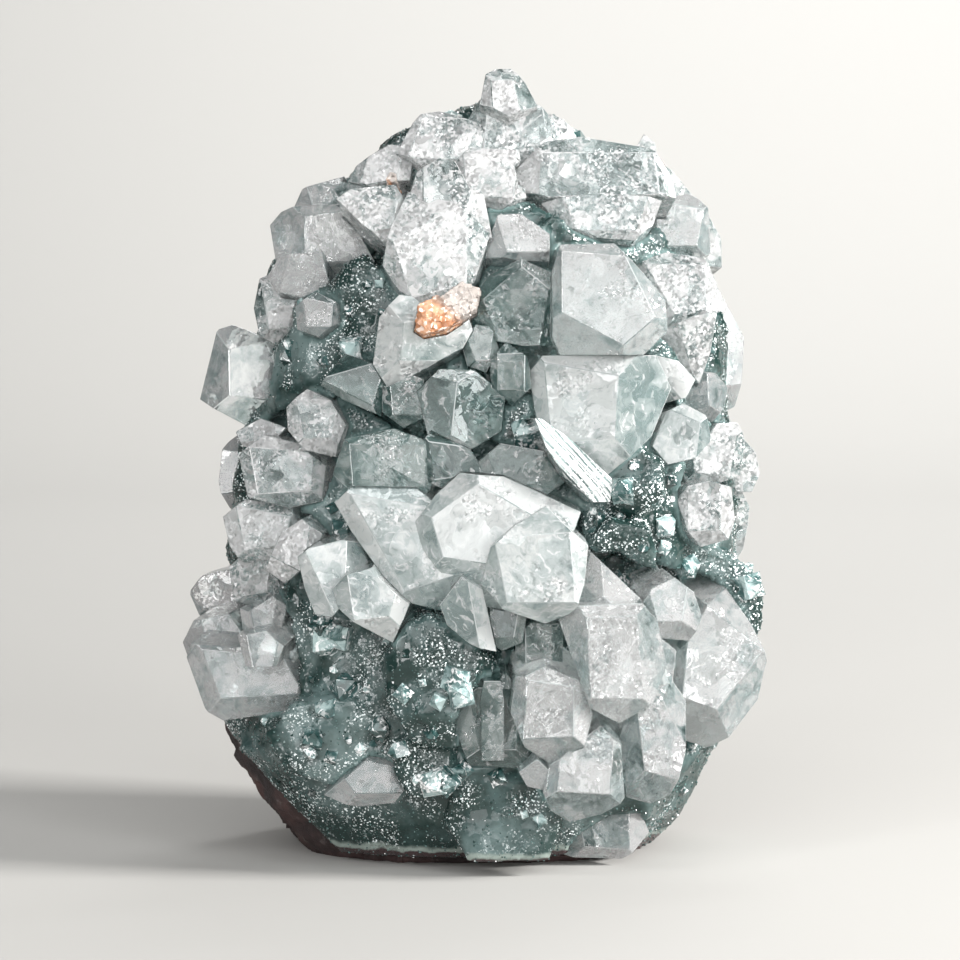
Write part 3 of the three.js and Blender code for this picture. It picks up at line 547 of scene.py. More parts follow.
@dataclass(frozen=True)
class CrustFinish:
    """Green chalcedony crust: glassy dark teal with grey haze and fine leaning specks painted near white as
    glints, and a pale rind on the rock.
    """

    name: str = "green_chalcedony"
    deep: str = "192E2B"
    green: str = "3D5150"
    haze: str = "7C8E8D"
    spark: str = "E8F0F0"
    root: str = "667C7A"
    rind: str = "828D87"
    rock: str = "3A2C2D"
    green_size: float = 8.0
    green_span: Span = (0.45, 0.66)
    haze_size: float = 14.0
    haze_span: Span = (0.48, 0.72)
    haze_most: float = 0.65
    field_size: float = 6.0
    field_span: Span = (0.42, 0.62)
    speck_size: float = 0.22
    speck_span: Span = (0.82, 0.92)
    speck_tilt: float = 0.9
    plane_size: float = 1.4
    plane_tilt: float = 0.25
    foot_size: float = 4.0
    foot_wave: float = 2.4
    rind_level: Span = (2.6, 1.9)
    rock_level: Span = (1.7, 1.3)
    roughness: float = 0.16
    ior: float = 1.54

    def material(self) -> bpy.types.Material:
        """Builds the finish.

        Returns:
            The material.
        """
        shader = Shader(self.name)
        place = shader.place_mm()
        green = shader.span(shader.noise(place, self.green_size, 5.0, 0.6), self.green_span)
        colour = shader.blend(green, linear(self.deep), linear(self.green))
        haze = shader.span(shader.noise(place, self.haze_size, 5.0, 0.6), self.haze_span)
        colour = shader.blend(shader.math("MULTIPLY", haze, self.haze_most), colour, linear(self.haze))
        speck = shader.cells(place, self.speck_size)
        field = shader.span(shader.noise(place, self.field_size, 4.0), self.field_span)
        bright = shader.math("MULTIPLY", shader.span(shader.channel(speck), self.speck_span), field)
        # Painted glints: specks in the glitter field are painted near white.
        colour = shader.blend(bright, colour, linear(self.spark))
        colour = shader.blend(shader.mark(Mark.ROOTED), colour, linear(self.root))
        colour = shader.blend(shader.mark(Mark.RIND), colour, linear(self.rind))
        level = shader.add("ShaderNodeSeparateXYZ", {0: place}).outputs[2]
        level = shader.math("MULTIPLY_ADD", shader.noise(place, self.foot_size, 4.0), -self.foot_wave, level)
        colour = shader.blend(shader.span(level, self.rind_level), colour, linear(self.rind))
        colour = shader.blend(shader.span(level, self.rock_level), colour, linear(self.rock))
        normal = shader.mosaic(shader.normal(), shader.cells(place, self.plane_size), self.plane_tilt)
        normal = shader.vector("NORMALIZE", normal)
        normal = shader.mosaic(normal, speck, shader.math("MULTIPLY", field, self.speck_tilt))
        return shader.surface(
            {
                "Base Color": colour,
                "Roughness": self.roughness,
                "IOR": self.ior,
                "Normal": shader.vector("NORMALIZE", normal),
            }
        )


@dataclass(frozen=True)
class DruseFinish:
    """Druse grains: tiny glassy points, most of them as dark as the crust and some of them painted white as
    glints.
    """

    name: str = "druse_grains"
    dark: str = "1C3532"
    grey: str = "5D7673"
    grey_span: Span = (0.0, 0.8)
    spark_span: Span = (0.92, 0.95)
    roughness: float = 0.08
    ior: float = 1.54

    def material(self) -> bpy.types.Material:
        """Builds the finish.

        Returns:
            The material.
        """
        shader = Shader(self.name)
        shade = shader.mark(Mark.FACET)
        colour = shader.blend(shader.span(shade, self.grey_span), linear(self.dark), linear(self.grey))
        # Painted glints: the grains with the highest numbers are painted white.
        colour = shader.blend(shader.span(shade, self.spark_span), colour, linear(WHITE))
        return shader.surface({"Base Color": colour, "Roughness": self.roughness, "IOR": self.ior})


@dataclass(frozen=True)
class BasaltFinish:
    """Basalt: dull brown-maroon broken rock with grey weathering."""

    name: str = "brown_basalt"
    dark: str = "2A2020"
    brown: str = "5A4340"
    grey: str = "8A827E"
    brown_size: float = 9.0
    brown_span: Span = (0.38, 0.65)
    grey_size: float = 3.0
    grey_span: Span = (0.55, 0.75)
    grey_most: float = 0.6
    pit_size: float = 1.2
    pit_strength: float = 0.8
    pit_depth: float = 0.6 * MM
    roughness: float = 0.7

    def material(self) -> bpy.types.Material:
        """Builds the finish.

        Returns:
            The material.
        """
        shader = Shader(self.name)
        place = shader.place_mm()
        brown = shader.span(shader.noise(place, self.brown_size, 6.0), self.brown_span)
        colour = shader.blend(brown, linear(self.dark), linear(self.brown))
        grey = shader.span(shader.noise(place, self.grey_size, 6.0, 0.7), self.grey_span)
        colour = shader.blend(shader.math("MULTIPLY", grey, self.grey_most), colour, linear(self.grey))
        pits = shader.noise(place, self.pit_size, 6.0, 0.7)
        bump = {"Height": pits, "Strength": self.pit_strength, "Distance": self.pit_depth}
        normal = shader.add("ShaderNodeBump", bump).outputs[0]
        return shader.surface({"Base Color": colour, "Roughness": self.roughness, "Normal": normal})


@dataclass(frozen=True)
class StilbiteFinish:
    """Stilbite: sugary peach with specks painted near white as glints, turning to pale translucent rays."""

    name: str = "peach_stilbite"
    deep: str = "C2845C"
    peach: str = "E2AF8C"
    spark: str = "FBE6D8"
    ray: str = "B4ACA6"
    peach_size: float = 1.6
    peach_span: Span = (0.38, 0.6)
    speck_size: float = 0.5
    spark_span: Span = (0.72, 0.85)
    speck_tilt: float = 0.7
    ray_span: Span = (0.48, 0.66)
    roughness: float = 0.18
    transmission: float = 0.25
    ior: float = 1.5

    def material(self) -> bpy.types.Material:
        """Builds the finish.

        Returns:
            The material.
        """
        shader = Shader(self.name)
        place = shader.place_mm()
        peach = shader.span(shader.noise(place, self.peach_size, 4.0), self.peach_span)
        colour = shader.blend(peach, linear(self.deep), linear(self.peach))
        speck = shader.cells(place, self.speck_size)
        # Painted glints: the brightest specks are painted near white.
        colour = shader.blend(shader.span(shader.channel(speck), self.spark_span), colour, linear(self.spark))
        colour = shader.blend(shader.span(shader.mark(Mark.FAN), self.ray_span), colour, linear(self.ray))
        normal = shader.mosaic(shader.normal(), speck, self.speck_tilt)
        return shader.surface(
            {
                "Base Color": colour,
                "Roughness": self.roughness,
                "Normal": shader.vector("NORMALIZE", normal),
                "Transmission Weight": self.transmission,
                "IOR": self.ior,
            }
        )


@dataclass(frozen=True)
class CardFinish:
    """Pale card: a plain matt surface of one colour."""

    name: str = "pale_card"
    colour: str = "A8A7A4"
    roughness: float = 0.8

    def material(self) -> bpy.types.Material:
        """Builds the finish.

        Returns:
            The material.
        """
        return Shader(self.name).surface({"Base Color": linear(self.colour), "Roughness": self.roughness})


def add_object(name: str, mesh: bpy.types.Mesh) -> bpy.types.Object:
    """Puts a mesh in the scene at the origin.

    Args:
        name: The piece's name.
        mesh: Its mesh.

    Returns:
        The new object.
    """
    obj = bpy.data.objects.new(name, mesh)
    bpy.context.scene.collection.objects.link(obj)
    return obj


def settled(obj: bpy.types.Object) -> bpy.types.Mesh:
    """Turns an object with modifiers into a plain mesh.

    Args:
        obj: The object, which is removed.

    Returns:
        The mesh with its modifiers applied.
    """
    graph = bpy.context.evaluated_depsgraph_get()
    shaped = obj.evaluated_get(graph)
    mesh = bpy.data.meshes.new_from_object(shaped, preserve_all_data_layers=True, depsgraph=graph)
    bpy.data.objects.remove(obj, do_unlink=True)
    return mesh


def node_mesh(node: str, name: str) -> bpy.types.Mesh:
    """Copies a solid's mesh in place, with shared corners merged.

    Args:
        node: The solid's name.
        name: The copy's name.

    Returns:
        The copy.
    """
    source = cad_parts[node]
    work = bmesh.new()
    work.from_mesh(source.data)
    work.transform(source.matrix_world)
    bmesh.ops.remove_doubles(work, verts=work.verts, dist=0.0005 * MM)
    mesh = bpy.data.meshes.new(name)
    work.to_mesh(mesh)
    work.free()
    return mesh


def evened(mesh: bpy.types.Mesh, voxel: float) -> bpy.types.Mesh:
    """Rebuilds a closed mesh from faces of one size.

    Args:
        mesh: The mesh.
        voxel: The size of the new faces.

    Returns:
        The new mesh.
    """
    form = add_object(mesh.name, mesh)
    remesh = form.modifiers.new("even", "REMESH")
    remesh.mode = "VOXEL"
    remesh.voxel_size = voxel
    return settled(form)


def smoothed(mesh: bpy.types.Mesh) -> None:
    """Shades a mesh smoothly.

    Args:
        mesh: The mesh.
    """
    for polygon in mesh.polygons:
        polygon.use_smooth = True


def set_mark(mesh: bpy.types.Mesh, mark: Mark, values: list[float]) -> None:
    """Stores a number on each of a mesh's corners.

    Args:
        mesh: The mesh.
        mark: The number's meaning.
        values: One number for each corner.
    """
    mesh.attributes.new(mark.value, "FLOAT", "POINT").data.foreach_set("value", values)


def leaning_cells(point: Vector) -> float:
    """Gives the height of a surface of flat crystal faces, each one leaning its own way.

    Args:
        point: A point, with faces about one unit wide.

    Returns:
        The height in the same units.
    """
    _, corners = noise.voronoi(point)
    lean = noise.noise_vector(corners[0] * 7.3)
    return (point - corners[0]).dot(lean)


def nearness(pieces: list[bpy.types.Object], reach: float) -> Callable[[Vector], float]:
    """Makes a measure of how near a point is to some pieces.

    Args:
        pieces: The pieces to measure from.
        reach: A distance at which nearness has begun to fade.

    Returns:
        A function from a point to 1 at the pieces and 0 away from them.
    """
    work = bmesh.new()
    for piece in pieces:
        work.from_mesh(piece.data)
    tree = BVHTree.FromBMesh(work)
    work.free()

    def near(point: Vector) -> float:
        """Measures one point.

        Args:
            point: The point.

        Returns:
            Its nearness.
        """
        _, _, _, distance = tree.find_nearest(point)
        return clamped(1.6 - distance / reach)

    return near


def finish_piece(obj: bpy.types.Object, slot: Slot, *nodes: str) -> None:
    """Attaches a piece to the root body and hides the solids that it replaces.

    Args:
        obj: The piece.
        slot: Its material slot; not used.
        *nodes: The solids that it replaces.
    """
    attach(obj, "root")
    if nodes:
        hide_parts(*nodes)


@dataclass
class CrystalGroup:
    """Crystals that grew together, as one see-through piece with flat faces."""

    node: str
    finish: CrystalFinish
    seed: int
    merge: float = 0.12 * MM
    flat: float = math.radians(1.0)
    grow: float = 0.14 * MM
    stretch: float = 1.4
    sharp: float = math.radians(14)
    rim: float = 0.09 * MM
    # Share of cut rims painted white as highlights.
    painted_rims: float = 0.22

    def build(self) -> bpy.types.Object:
        """Grows the solid a little, cuts its rims and marks its faces.

        Returns:
            The piece, with a random number on each of its faces and some rims in a second material that paints
            them white as highlights.
        """
        mesh = node_mesh(self.node, f"{self.node}_faces")
        work = bmesh.new()
        work.from_mesh(mesh)
        bmesh.ops.remove_doubles(work, verts=work.verts, dist=self.merge)
        bmesh.ops.dissolve_limit(work, angle_limit=self.flat, verts=work.verts, edges=work.edges)
        work.normal_update()
        for vertex in work.verts:
            vertex.co += vertex.normal * min(vertex.calc_shell_factor(), self.stretch) * self.grow
        dice = random.Random(self.seed)
        facet = work.faces.layers.float.new(Mark.FACET.value)
        for face in work.faces:
            face[facet] = dice.random()
        rims = [edge for edge in work.edges if edge.is_manifold and edge.calc_face_angle_signed() > self.sharp]
        cut = bmesh.ops.bevel(
            work, geom=rims, offset=self.rim, segments=1, affect="EDGES", clamp_overlap=False
        )
        for face in cut["faces"]:
            face[facet] = dice.random()
            # Some cut rims get the second material, a painted white highlight.
            face.material_index = 1 if dice.random() < self.painted_rims else 0
        work.to_mesh(mesh)
        work.free()
        return add_object(f"{self.node}_visual", mesh)

    def dress(self, obj: bpy.types.Object, faces: bpy.types.Material, rims: bpy.types.Material) -> None:
        """Gives the piece its finish.

        Args:
            obj: The piece.
            faces: The faces' material.
            rims: The material that paints some rims white as highlights.
        """
        obj.data.materials.append(faces)
        obj.data.materials.append(rims)
        finish_piece(obj, self.finish.slot, self.node)


@dataclass
class Crust:
    """The green crust: a lumpy skin that is calm at the crystals' roots, at the rock and at the foot."""

    voxel: float = 0.6 * MM
    swell: float = 0.4 * MM
    lump: float = 0.6 * MM
    lump_size: float = 9.0 * MM
    step: float = 1.6 * MM
    step_size: float = 6.0 * MM
    chip: float = 0.5 * MM
    chip_size: float = 2.4 * MM
    root_reach: float = 0.6 * MM
    rind: float = 1.0 * MM
    foot: float = 8.0 * MM
    foot_fade: float = 10.0 * MM
    foot_calm: float = 0.8
    lowest: float = 0.2 * MM

    def build(self, crystals: list[bpy.types.Object], rock: bpy.types.Object) -> bpy.types.Object:
        """Builds the skin and marks its roots, its rind and where grains may grow.

        Args:
            crystals: The crystal pieces.
            rock: The rock behind it.

        Returns:
            The piece.
        """
        mesh = evened(node_mesh("green_crust", "green_crust_form"), self.voxel)
        near = nearness(crystals, self.root_reach)
        edge = nearness([rock], self.rind)
        places = []
        for vertex in mesh.vertices:
            calm = max(near(vertex.co), edge(vertex.co), self.foot_calm * self.footing(vertex.co))
            height = self.swell + self.relief(vertex.co) * (1 - calm)
            places.append(vertex.co + vertex.normal * height)
        for vertex, place in zip(mesh.vertices, places):
            vertex.co = (place.x, place.y, max(place.z, self.lowest))
        mesh.update()
        self.mark(mesh, near, edge)
        smoothed(mesh)
        return add_object("green_crust_visual", mesh)

    def relief(self, point: Vector) -> float:
        """Gives the skin's height over the solid.

        Args:
            point: A point on the solid.

        Returns:
            The height of the lumps and broken planes there.
        """
        height = self.lump * noise.fractal(point / self.lump_size, 0.8, 2.0, 3)
        height += self.step * leaning_cells(point / self.step_size)
        return height + self.chip * leaning_cells(point / self.chip_size)

    def footing(self, point: Vector) -> float:
        """Measures how near a point is to the foot.

        Args:
            point: A point on the crust.

        Returns:
            1 at the smooth foot and 0 above it.
        """
        return clamped(1 - (point.z - self.foot) / self.foot_fade)

    def mark(
        self, mesh: bpy.types.Mesh, near: Callable[[Vector], float], edge: Callable[[Vector], float]
    ) -> None:
        """Marks the roots, the rind, the bare crust, and the bare crust that faces forward above the foot.

        Args:
            mesh: The skin.
            near: Nearness to the crystals.
            edge: Nearness to the rock.
        """
        rooted = [near(vertex.co) for vertex in mesh.vertices]
        rind = [edge(vertex.co) for vertex in mesh.vertices]
        bare = [1 - max(pair) for pair in zip(rooted, rind)]
        front = [clamped(-3 * vertex.normal.y - 1.2) for vertex in mesh.vertices]
        above = [1 - self.footing(vertex.co) for vertex in mesh.vertices]
        inner = [math.prod(parts) for parts in zip(bare, front, above)]
        set_mark(mesh, Mark.ROOTED, rooted)
        set_mark(mesh, Mark.RIND, rind)
        set_mark(mesh, Mark.BARE, bare)
        set_mark(mesh, Mark.INNER, inner)

    def dress(self, obj: bpy.types.Object) -> None:
        """Gives the piece its finish.

        Args:
            obj: The piece.
        """
        obj.data.materials.append(CrustFinish().material())
        finish_piece(obj, Slot.DRUSE, "green_crust")


@dataclass
class Druse:
    """Small four-sided crystals strewn over the open part of the crust."""

    name: str
    finish: CrystalFinish | DruseFinish
    mask: Mark
    count_per_cm2: float
    smallest: float
    largest: float
    sunk: float
    seed: int
    size_seed: int = 3
    turn_seed: int = 4
    smallness: float = 2.5
    tilt: float = 0.7
    radius: float = 0.6
    height: float = 0.8
    tip: float = 0.35

    def build(self, crust: bpy.types.Object) -> bpy.types.Object:
        """Strews the grains.

        Args:
            crust: The crust to strew.

        Returns:
            The grains as one piece.
        """
        field = add_object(f"{self.name}_field", crust.data.copy())
        strew = field.modifiers.new("strew", "NODES")
        strew.node_group, sockets = self.tree(self.finish.material())
        strew[sockets["Density"]] = self.count_per_cm2 / CM2
        strew[sockets["Smallest"]] = self.smallest
        strew[sockets["Largest"]] = self.largest
        strew[sockets["Sunk"]] = self.sunk
        strew[sockets["Seed"]] = self.seed
        return add_object(self.name, settled(field))

    def tree(self, material: bpy.types.Material) -> tuple[bpy.types.NodeTree, dict[str, str]]:
        """Builds the node tree that strews the grains.

        Args:
            material: The grains' material.

        Returns:
            The tree, and its inputs' identifiers by name.
        """
        tree = bpy.data.node_groups.new(self.name, "GeometryNodeTree")
        face = tree.interface
        face.new_socket("Geometry", in_out="INPUT", socket_type="NodeSocketGeometry")
        kinds = {"Density": "Float", "Smallest": "Float", "Largest": "Float", "Sunk": "Float", "Seed": "Int"}
        sockets = {}
        for name, kind in kinds.items():
            socket = face.new_socket(name, in_out="INPUT", socket_type=f"NodeSocket{kind}")
            sockets[name] = socket.identifier
        face.new_socket("Geometry", in_out="OUTPUT", socket_type="NodeSocketGeometry")
        nodes = Nodes(tree)
        given = nodes.add("NodeGroupInput").outputs
        strewn = self.strewn(nodes, given)
        real = nodes.add("GeometryNodeRealizeInstances", {0: strewn})
        done = nodes.add("GeometryNodeSetMaterial", {"Geometry": real.outputs[0], "Material": material})
        nodes.add("NodeGroupOutput", {0: done.outputs[0]})
        return tree, sockets

    def strewn(self, nodes: Nodes, given: Any) -> Socket:
        """Sets a grain on each of many random points.

        Args:
            nodes: The tree's nodes.
            given: The tree's input sockets.

        Returns:
            The strewn grains' socket.
        """
        named = {"Name": self.mask.value}
        mask = nodes.add("GeometryNodeInputNamedAttribute", named, data_type="FLOAT").outputs[0]
        density = nodes.math("MULTIPLY", given["Density"], mask)
        scatter = {"Mesh": given["Geometry"], "Density": density, "Seed": given["Seed"]}
        points = nodes.add("GeometryNodeDistributePointsOnFaces", scatter).outputs
        shade = nodes.add("FunctionNodeRandomValue", {"Seed": given["Seed"]}, data_type="FLOAT").outputs[1]
        marked = nodes.add(
            "GeometryNodeStoreNamedAttribute",
            {"Geometry": points["Points"], "Name": Mark.FACET.value, "Value": shade},
            data_type="FLOAT",
            domain="POINT",
        )
        chance = nodes.add("FunctionNodeRandomValue", {"Seed": self.size_seed}, data_type="FLOAT").outputs[1]
        growth = nodes.math("SUBTRACT", given["Largest"], given["Smallest"])
        growth = nodes.math("MULTIPLY", nodes.math("POWER", chance, self.smallness), growth)
        size = nodes.math("ADD", growth, given["Smallest"])
        depth = nodes.math("MULTIPLY", size, nodes.math("MULTIPLY", given["Sunk"], -1.0))
        offset = nodes.vector("SCALE", points["Normal"], depth)
        rooted = nodes.add("GeometryNodeSetPosition", {"Geometry": marked.outputs[0], "Offset": offset})
        turns = {0: (-self.tilt, -self.tilt, 0.0), 1: (self.tilt, self.tilt, FULL_TURN), "Seed": self.turn_seed}
        turn = nodes.add("FunctionNodeRandomValue", turns, data_type="FLOAT_VECTOR").outputs[0]
        way = {0: points["Rotation"], 1: turn}
        tilted = nodes.add("FunctionNodeRotateRotation", way, rotation_space="LOCAL").outputs[0]
        placed = {
            "Points": rooted.outputs[0],
            "Instance": self.grain(nodes),
            "Rotation": tilted,
            "Scale": size,
        }
        return nodes.add("GeometryNodeInstanceOnPoints", placed).outputs[0]

    def grain(self, nodes: Nodes) -> Socket:
        """Makes one grain, a four-sided prism with a pyramid on it.

        Args:
            nodes: The tree's nodes.

        Returns:
            The grain's socket.
        """
        sides = {"Vertices": 4, "Radius": self.radius, "Depth": self.height}
        prism = nodes.add("GeometryNodeMeshCylinder", sides, fill_type="NONE")
        slopes = {"Vertices": 4, "Radius Top": 0.0, "Radius Bottom": self.radius, "Depth": self.tip}
        point = nodes.add("GeometryNodeMeshCone", slopes, fill_type="NONE")
        lift = {"Geometry": point.outputs[0], "Translation": (0.0, 0.0, self.height / 2)}
        raised = nodes.add("GeometryNodeTransform", lift)
        block = nodes.add("GeometryNodeJoinGeometry", {0: prism.outputs[0]})
        nodes.tree.links.new(raised.outputs[0], block.inputs[0])
        return block.outputs[0]

    def dress(self, obj: bpy.types.Object) -> None:
        """Attaches the grains to the root body. Their material comes from the tree.

        Args:
            obj: The piece.
        """
        finish_piece(obj, Slot.DRUSE)


@dataclass
class Basalt:
    """The rock at the back, with rough broken faces and a flat sawn foot."""

    voxel: float = 0.9 * MM
    swell: float = 0.25 * MM
    rough: float = 0.7 * MM
    rough_size: float = 5.0 * MM
    split: float = 1.3 * MM
    split_size: float = 8.0 * MM
    sawn: float = 0.6 * MM

    def build(self) -> bpy.types.Object:
        """Breaks the solid's faces up and keeps its foot flat.

        Returns:
            The piece.
        """
        mesh = evened(node_mesh("basalt_matrix", "basalt_form"), self.voxel)
        places = []
        for vertex in mesh.vertices:
            height = self.swell + self.rough * noise.fractal(vertex.co / self.rough_size, 0.7, 2.0, 5)
            height += self.split * leaning_cells(vertex.co / self.split_size)
            places.append(vertex.co + vertex.normal * height)
        for vertex, place in zip(mesh.vertices, places):
            level = 0.0 if vertex.co.z < self.sawn else max(place.z, 0.0)
            vertex.co = (place.x, place.y, level)
        smoothed(mesh)
        return add_object("basalt_visual", mesh)

    def dress(self, obj: bpy.types.Object) -> None:
        """Gives the piece its finish.

        Args:
            obj: The piece.
        """
        obj.data.materials.append(BasaltFinish().material())
        finish_piece(obj, Slot.BASALT, "basalt_matrix")


@dataclass
class Stilbite:
    """A sugary peach stilbite that fades into a colourless fan at its upper right."""

    node: str
    voxel: float = 0.22 * MM
    lump: float = 0.5 * MM
    lump_size: float = 1.1 * MM

    def build(self) -> bpy.types.Object:
        """Breaks the solid's faces up into sugary grains.

        Returns:
            The piece, marked from 0 at its lower left to 1 at its upper right.
        """
        mesh = evened(node_mesh(self.node, f"{self.node}_form"), self.voxel)
        places = [v.co + v.normal * self.lump * leaning_cells(v.co / self.lump_size) for v in mesh.vertices]
        for vertex, place in zip(mesh.vertices, places):
            vertex.co = place
        slant = [vertex.co.x + vertex.co.z for vertex in mesh.vertices]
        low, high = min(slant), max(slant)
        set_mark(mesh, Mark.FAN, [(value - low) / (high - low) for value in slant])
        return add_object(f"{self.node}_visual", mesh)

    def dress(self, obj: bpy.types.Object, material: bpy.types.Material) -> None:
        """Gives the piece its finish.

        Args:
            obj: The piece.
            material: The finish's material.
        """
        obj.data.materials.append(material)
        finish_piece(obj, Slot.STILBITE, self.node)


@dataclass(frozen=True)
class Lamp:
    """A soft rectangular lamp, with its sizes in metres and its power in watts."""

    name: str
    place: Point
    size: Span
    power: float
    colour: str = WHITE
    aim: Point | None = None

    def build(self, middle: Vector) -> None:
        """Adds the lamp.

        Args:
            middle: The middle of the picture, where a lamp with no aim of its own points.
        """
        light = bpy.data.lights.new(self.name, "AREA")
        light.shape = "RECTANGLE"
        light.size, light.size_y = self.size
        light.energy = self.power
        light.color = linear(self.colour)[:3]
        obj = bpy.data.objects.new(self.name, light)
        obj.location = self.place
        way = (Vector(self.aim) if self.aim else middle) - Vector(self.place)
        obj.rotation_euler = way.to_track_quat("-Z", "Y").to_euler()
        bpy.context.scene.collection.objects.link(obj)


LAMPS = (
    Lamp("key_right", (0.6, -0.16, 0.33), (0.15, 0.15), 10.6, "FFFDFB"),
    Lamp("front_panel", (0.1, -0.75, 0.32), (1.1, 0.5), 4.8),
    Lamp("strip_left", (-0.42, -0.55, 0.3), (0.09, 0.6), 1.8),
    Lamp("strip_right", (0.4, -0.6, 0.3), (0.09, 0.6), 1.6),
    Lamp("strip_top", (0.0, -0.4, 0.62), (0.6, 0.09), 1.1),
    Lamp("wall_lamp", (0.25, 0.5, 0.7), (0.6, 0.1), 8.6, aim=(0.02, 1.0, 0.22)),
)


@dataclass
class Studio:
    """Pale floor and wall, soft lights, and the camera at the picture's angle."""

    aim: Point = (0.99 * MM, 6.61 * MM, 56.33 * MM)
    distance: float = 620 * MM
    rise: float = math.radians(5)
    width: float = 148.56 * MM
    sensor: float = 36.0
    floor_front: float = -1.6
    floor_back: float = 0.6
    floor_half: float = 1.8
    bend: float = 0.4
    bend_steps: int = 12
    wall_height: float = 1.8
    sky_colour: str = "F4F5F6"
    sky_strength: float = 0.16

    def build(self) -> None:
        """Builds the floor, the lights, the sky and the camera."""
        self.floor()
        for lamp in LAMPS:
            lamp.build(Vector(self.aim))
        self.sky()
        self.camera()
        self.light_paths()

    def floor(self) -> None:
        """Builds a floor that curves up into a wall."""
        profile = [(self.floor_front, 0.0)]
        for i in range(self.bend_steps + 1):
            angle = math.radians(90 * i / self.bend_steps)
            away = self.floor_back + self.bend * math.sin(angle)
            profile.append((away, self.bend * (1 - math.cos(angle))))
        profile.append((self.floor_back + self.bend, self.wall_height))
        verts = [(x, y, z) for y, z in profile for x in (-self.floor_half, self.floor_half)]
        faces = [(2 * i, 2 * i + 1, 2 * i + 3, 2 * i + 2) for i in range(len(profile) - 1)]
        mesh = bpy.data.meshes.new("floor")
        mesh.from_pydata(verts, [], faces)
        mesh.materials.append(CardFinish().material())
        smoothed(mesh)
        add_object("floor", mesh)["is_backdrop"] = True

    def sky(self) -> None:
        """Adds a dim even light from all round."""
        world = bpy.data.worlds.new("studio")
        world.use_nodes = True
        background = world.node_tree.nodes["Background"].inputs
        background["Color"].default_value = linear(self.sky_colour)
        background["Strength"].default_value = self.sky_strength
        bpy.context.scene.world = world

    def camera(self) -> None:
        """Adds the camera."""
        camera = bpy.data.cameras.new("camera")
        camera.sensor_width = self.sensor
        camera.lens = self.sensor * self.distance / self.width
        obj = bpy.data.objects.new("camera", camera)
        away = Vector((0, -math.cos(self.rise), math.sin(self.rise)))
        obj.location = Vector(self.aim) + away * self.distance
        obj.rotation_euler = (-away).to_track_quat("-Z", "Y").to_euler()
        bpy.context.scene.collection.objects.link(obj)
        bpy.context.scene.camera = obj
        bpy.context.scene.view_settings.view_transform = "Standard"

    def light_paths(self) -> None:
        """Keeps light paths through the crystals short."""
        cycles = bpy.context.scene.cycles
        cycles.max_bounces = 6
        cycles.transmission_bounces = 5
        cycles.diffuse_bounces = 2
        cycles.glossy_bounces = 2


CLEAR = CrystalFinish("clear_apophyllite", clouding=0.08)
# A wide glitter field: more leaning specks, painted white as glints.
SPARKLING = CrystalFinish(
    "sparkling_apophyllite",
    deep="465C5A",
    body="B2C1C0",
    clouding=0.05,
    transmission=0.66,
    density=0.0,
    break_size=1.8,
    break_tilt=0.6,
    glitter=1.1,
)
MILKY = CrystalFinish(
    "milky_apophyllite", Slot.MILKY, deep="8C9F9E", body="CCD6D5", cloud="F6F9F8", transmission=0.6
)
GREY = CrystalFinish(
    "grey_green_apophyllite",
    Slot.GREY,
    deep="3F5C59",
    body="7F9895",
    cloud="D2DDDB",
    clouding=-0.04,
    density=0.0,
)
DARK = CrystalFinish(
    "dark_green_apophyllite",
    Slot.DRUSE,
    deep="17312F",
    body="3E5C5B",
    cloud="A9BDBC",
    clouding=-0.02,
    transmission=0.0,
    density=0.0,
    break_size=1.6,
    break_tilt=0.4,
    glitter=0.7,
)
BLADE = CrystalFinish(
    "striated_apophyllite",
    deep="3F5654",
    body="7F9694",
    cloud="B9C8C8",
    clouding=-0.1,
    transmission=0.3,
    roughness=0.12,
    grain=Grain.SLANTED,
)

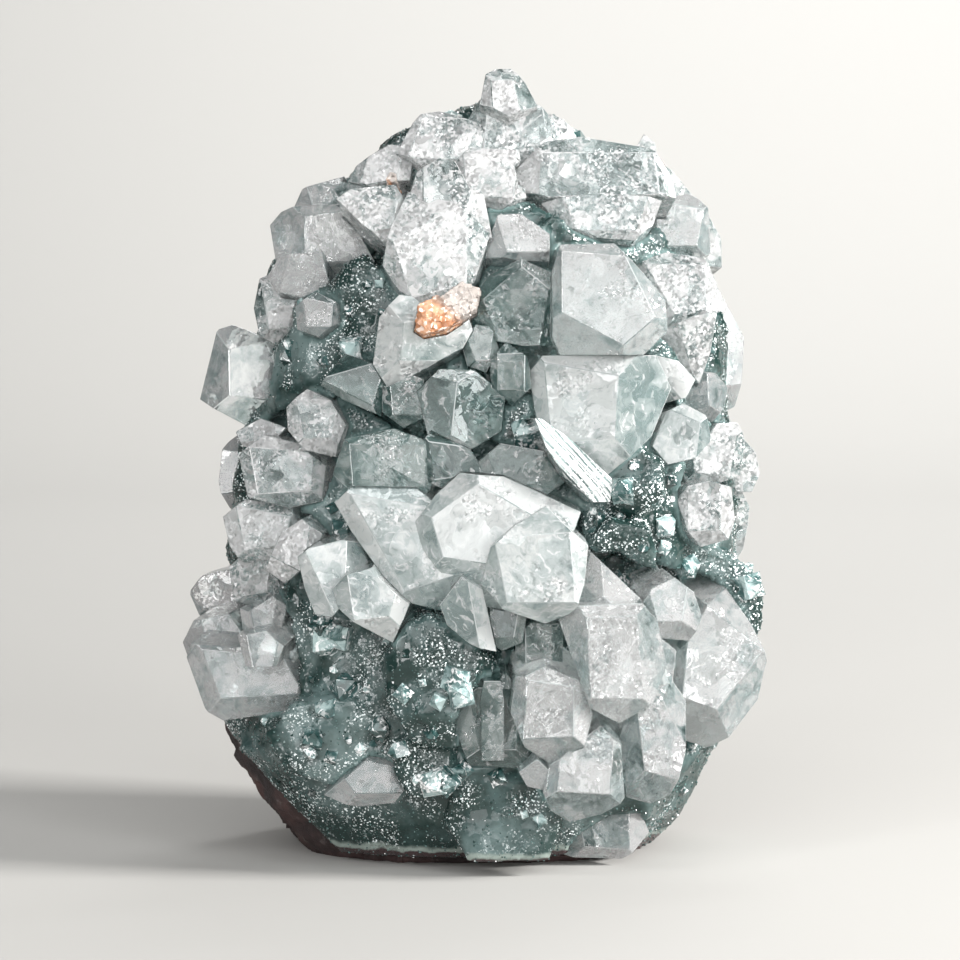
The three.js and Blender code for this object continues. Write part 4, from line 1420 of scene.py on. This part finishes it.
CRYSTALS = {
    "lower_right_crystals": CLEAR,
    "centre_crystals": MILKY,
    "centre_left_crystals": MILKY,
    "bright_blade_crystal": BLADE,
    "milky_edge_crystal": MILKY,
    "bevelled_crystal": CLEAR,
    "top_slab_crystals": SPARKLING,
    "right_shoulder_crystals": SPARKLING,
    "upper_right_block": CLEAR,
    "upper_right_crystals": SPARKLING,
    "right_plate_crystal": CLEAR,
    "right_point_crystal": CLEAR,
    "crown_crystals": SPARKLING,
    "upper_left_crystals": SPARKLING,
    "upper_left_block": CLEAR,
    "left_small_crystal": SPARKLING,
    "left_round_crystal": CLEAR,
    "left_block_crystal": CLEAR,
    "milky_block_crystal": MILKY,
    "grey_green_crystals": GREY,
    "under_slab_crystal": CLEAR,
    "grey_lower_crystals": GREY,
    "grey_upper_crystals": GREY,
    "left_rim_crystals": SPARKLING,
    "left_lower_crystals": SPARKLING,
    "left_edge_crystal": CLEAR,
    "left_corner_crystal": CLEAR,
    "lower_left_crystals": CLEAR,
    "right_milky_crystal": MILKY,
    "right_rim_crystals": SPARKLING,
    "right_edge_crystals": SPARKLING,
    "foot_crystals": GREY,
    "flake_crystal": CLEAR,
    "corner_crystal": CLEAR,
    "recess_crystals": GREY,
}

STILBITES = ("stilbite_sheaf", "stilbite_speck")

DRUSES = (
    Druse("druse_grains", DruseFinish(), Mark.BARE, 130.0, 0.1 * MM, 0.34 * MM, sunk=0.1, seed=5),
    Druse("small_crystals", DARK, Mark.INNER, 5.0, 1.2 * MM, 4.6 * MM, sunk=0.15, seed=8),
)


def build_crystals() -> list[bpy.types.Object]:
    """Builds and dresses the crystal groups.

    Returns:
        The crystal pieces.
    """
    materials = {finish: finish.material() for finish in dict.fromkeys(CRYSTALS.values())}
    # The painted rim highlight, shared by all crystal groups.
    painted_rims = RimHighlightFinish().material()
    pieces = []
    for seed, (node, finish) in enumerate(CRYSTALS.items(), start=1):
        group = CrystalGroup(node, finish, seed)
        piece = group.build()
        group.dress(piece, materials[finish], painted_rims)
        pieces.append(piece)
    return pieces


def build_stilbites() -> None:
    """Builds and dresses the stilbites."""
    peach = StilbiteFinish().material()
    for node in STILBITES:
        stilbite = Stilbite(node)
        stilbite.dress(stilbite.build(), peach)


def build_ground(crystals: list[bpy.types.Object]) -> None:
    """Builds and dresses the rock, the crust on it and the grains on that.

    Args:
        crystals: The crystal pieces.
    """
    basalt = Basalt()
    rock = basalt.build()
    basalt.dress(rock)
    crust = Crust()
    skin = crust.build(crystals, rock)
    crust.dress(skin)
    for druse in DRUSES:
        druse.dress(druse.build(skin))


def main() -> None:
    """Builds the cluster and the studio, and reports the pieces."""
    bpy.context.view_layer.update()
    noise.seed_set(RELIEF_SEED)
    crystals = build_crystals()
    build_stilbites()
    build_ground(crystals)
    Studio().build()
    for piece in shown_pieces():
        LOG.info("%s: %d faces", piece.name, len(piece.data.polygons))


if __name__ == "__main__":
    logging.basicConfig(level=logging.INFO, format="%(name)s: %(message)s")
    main()
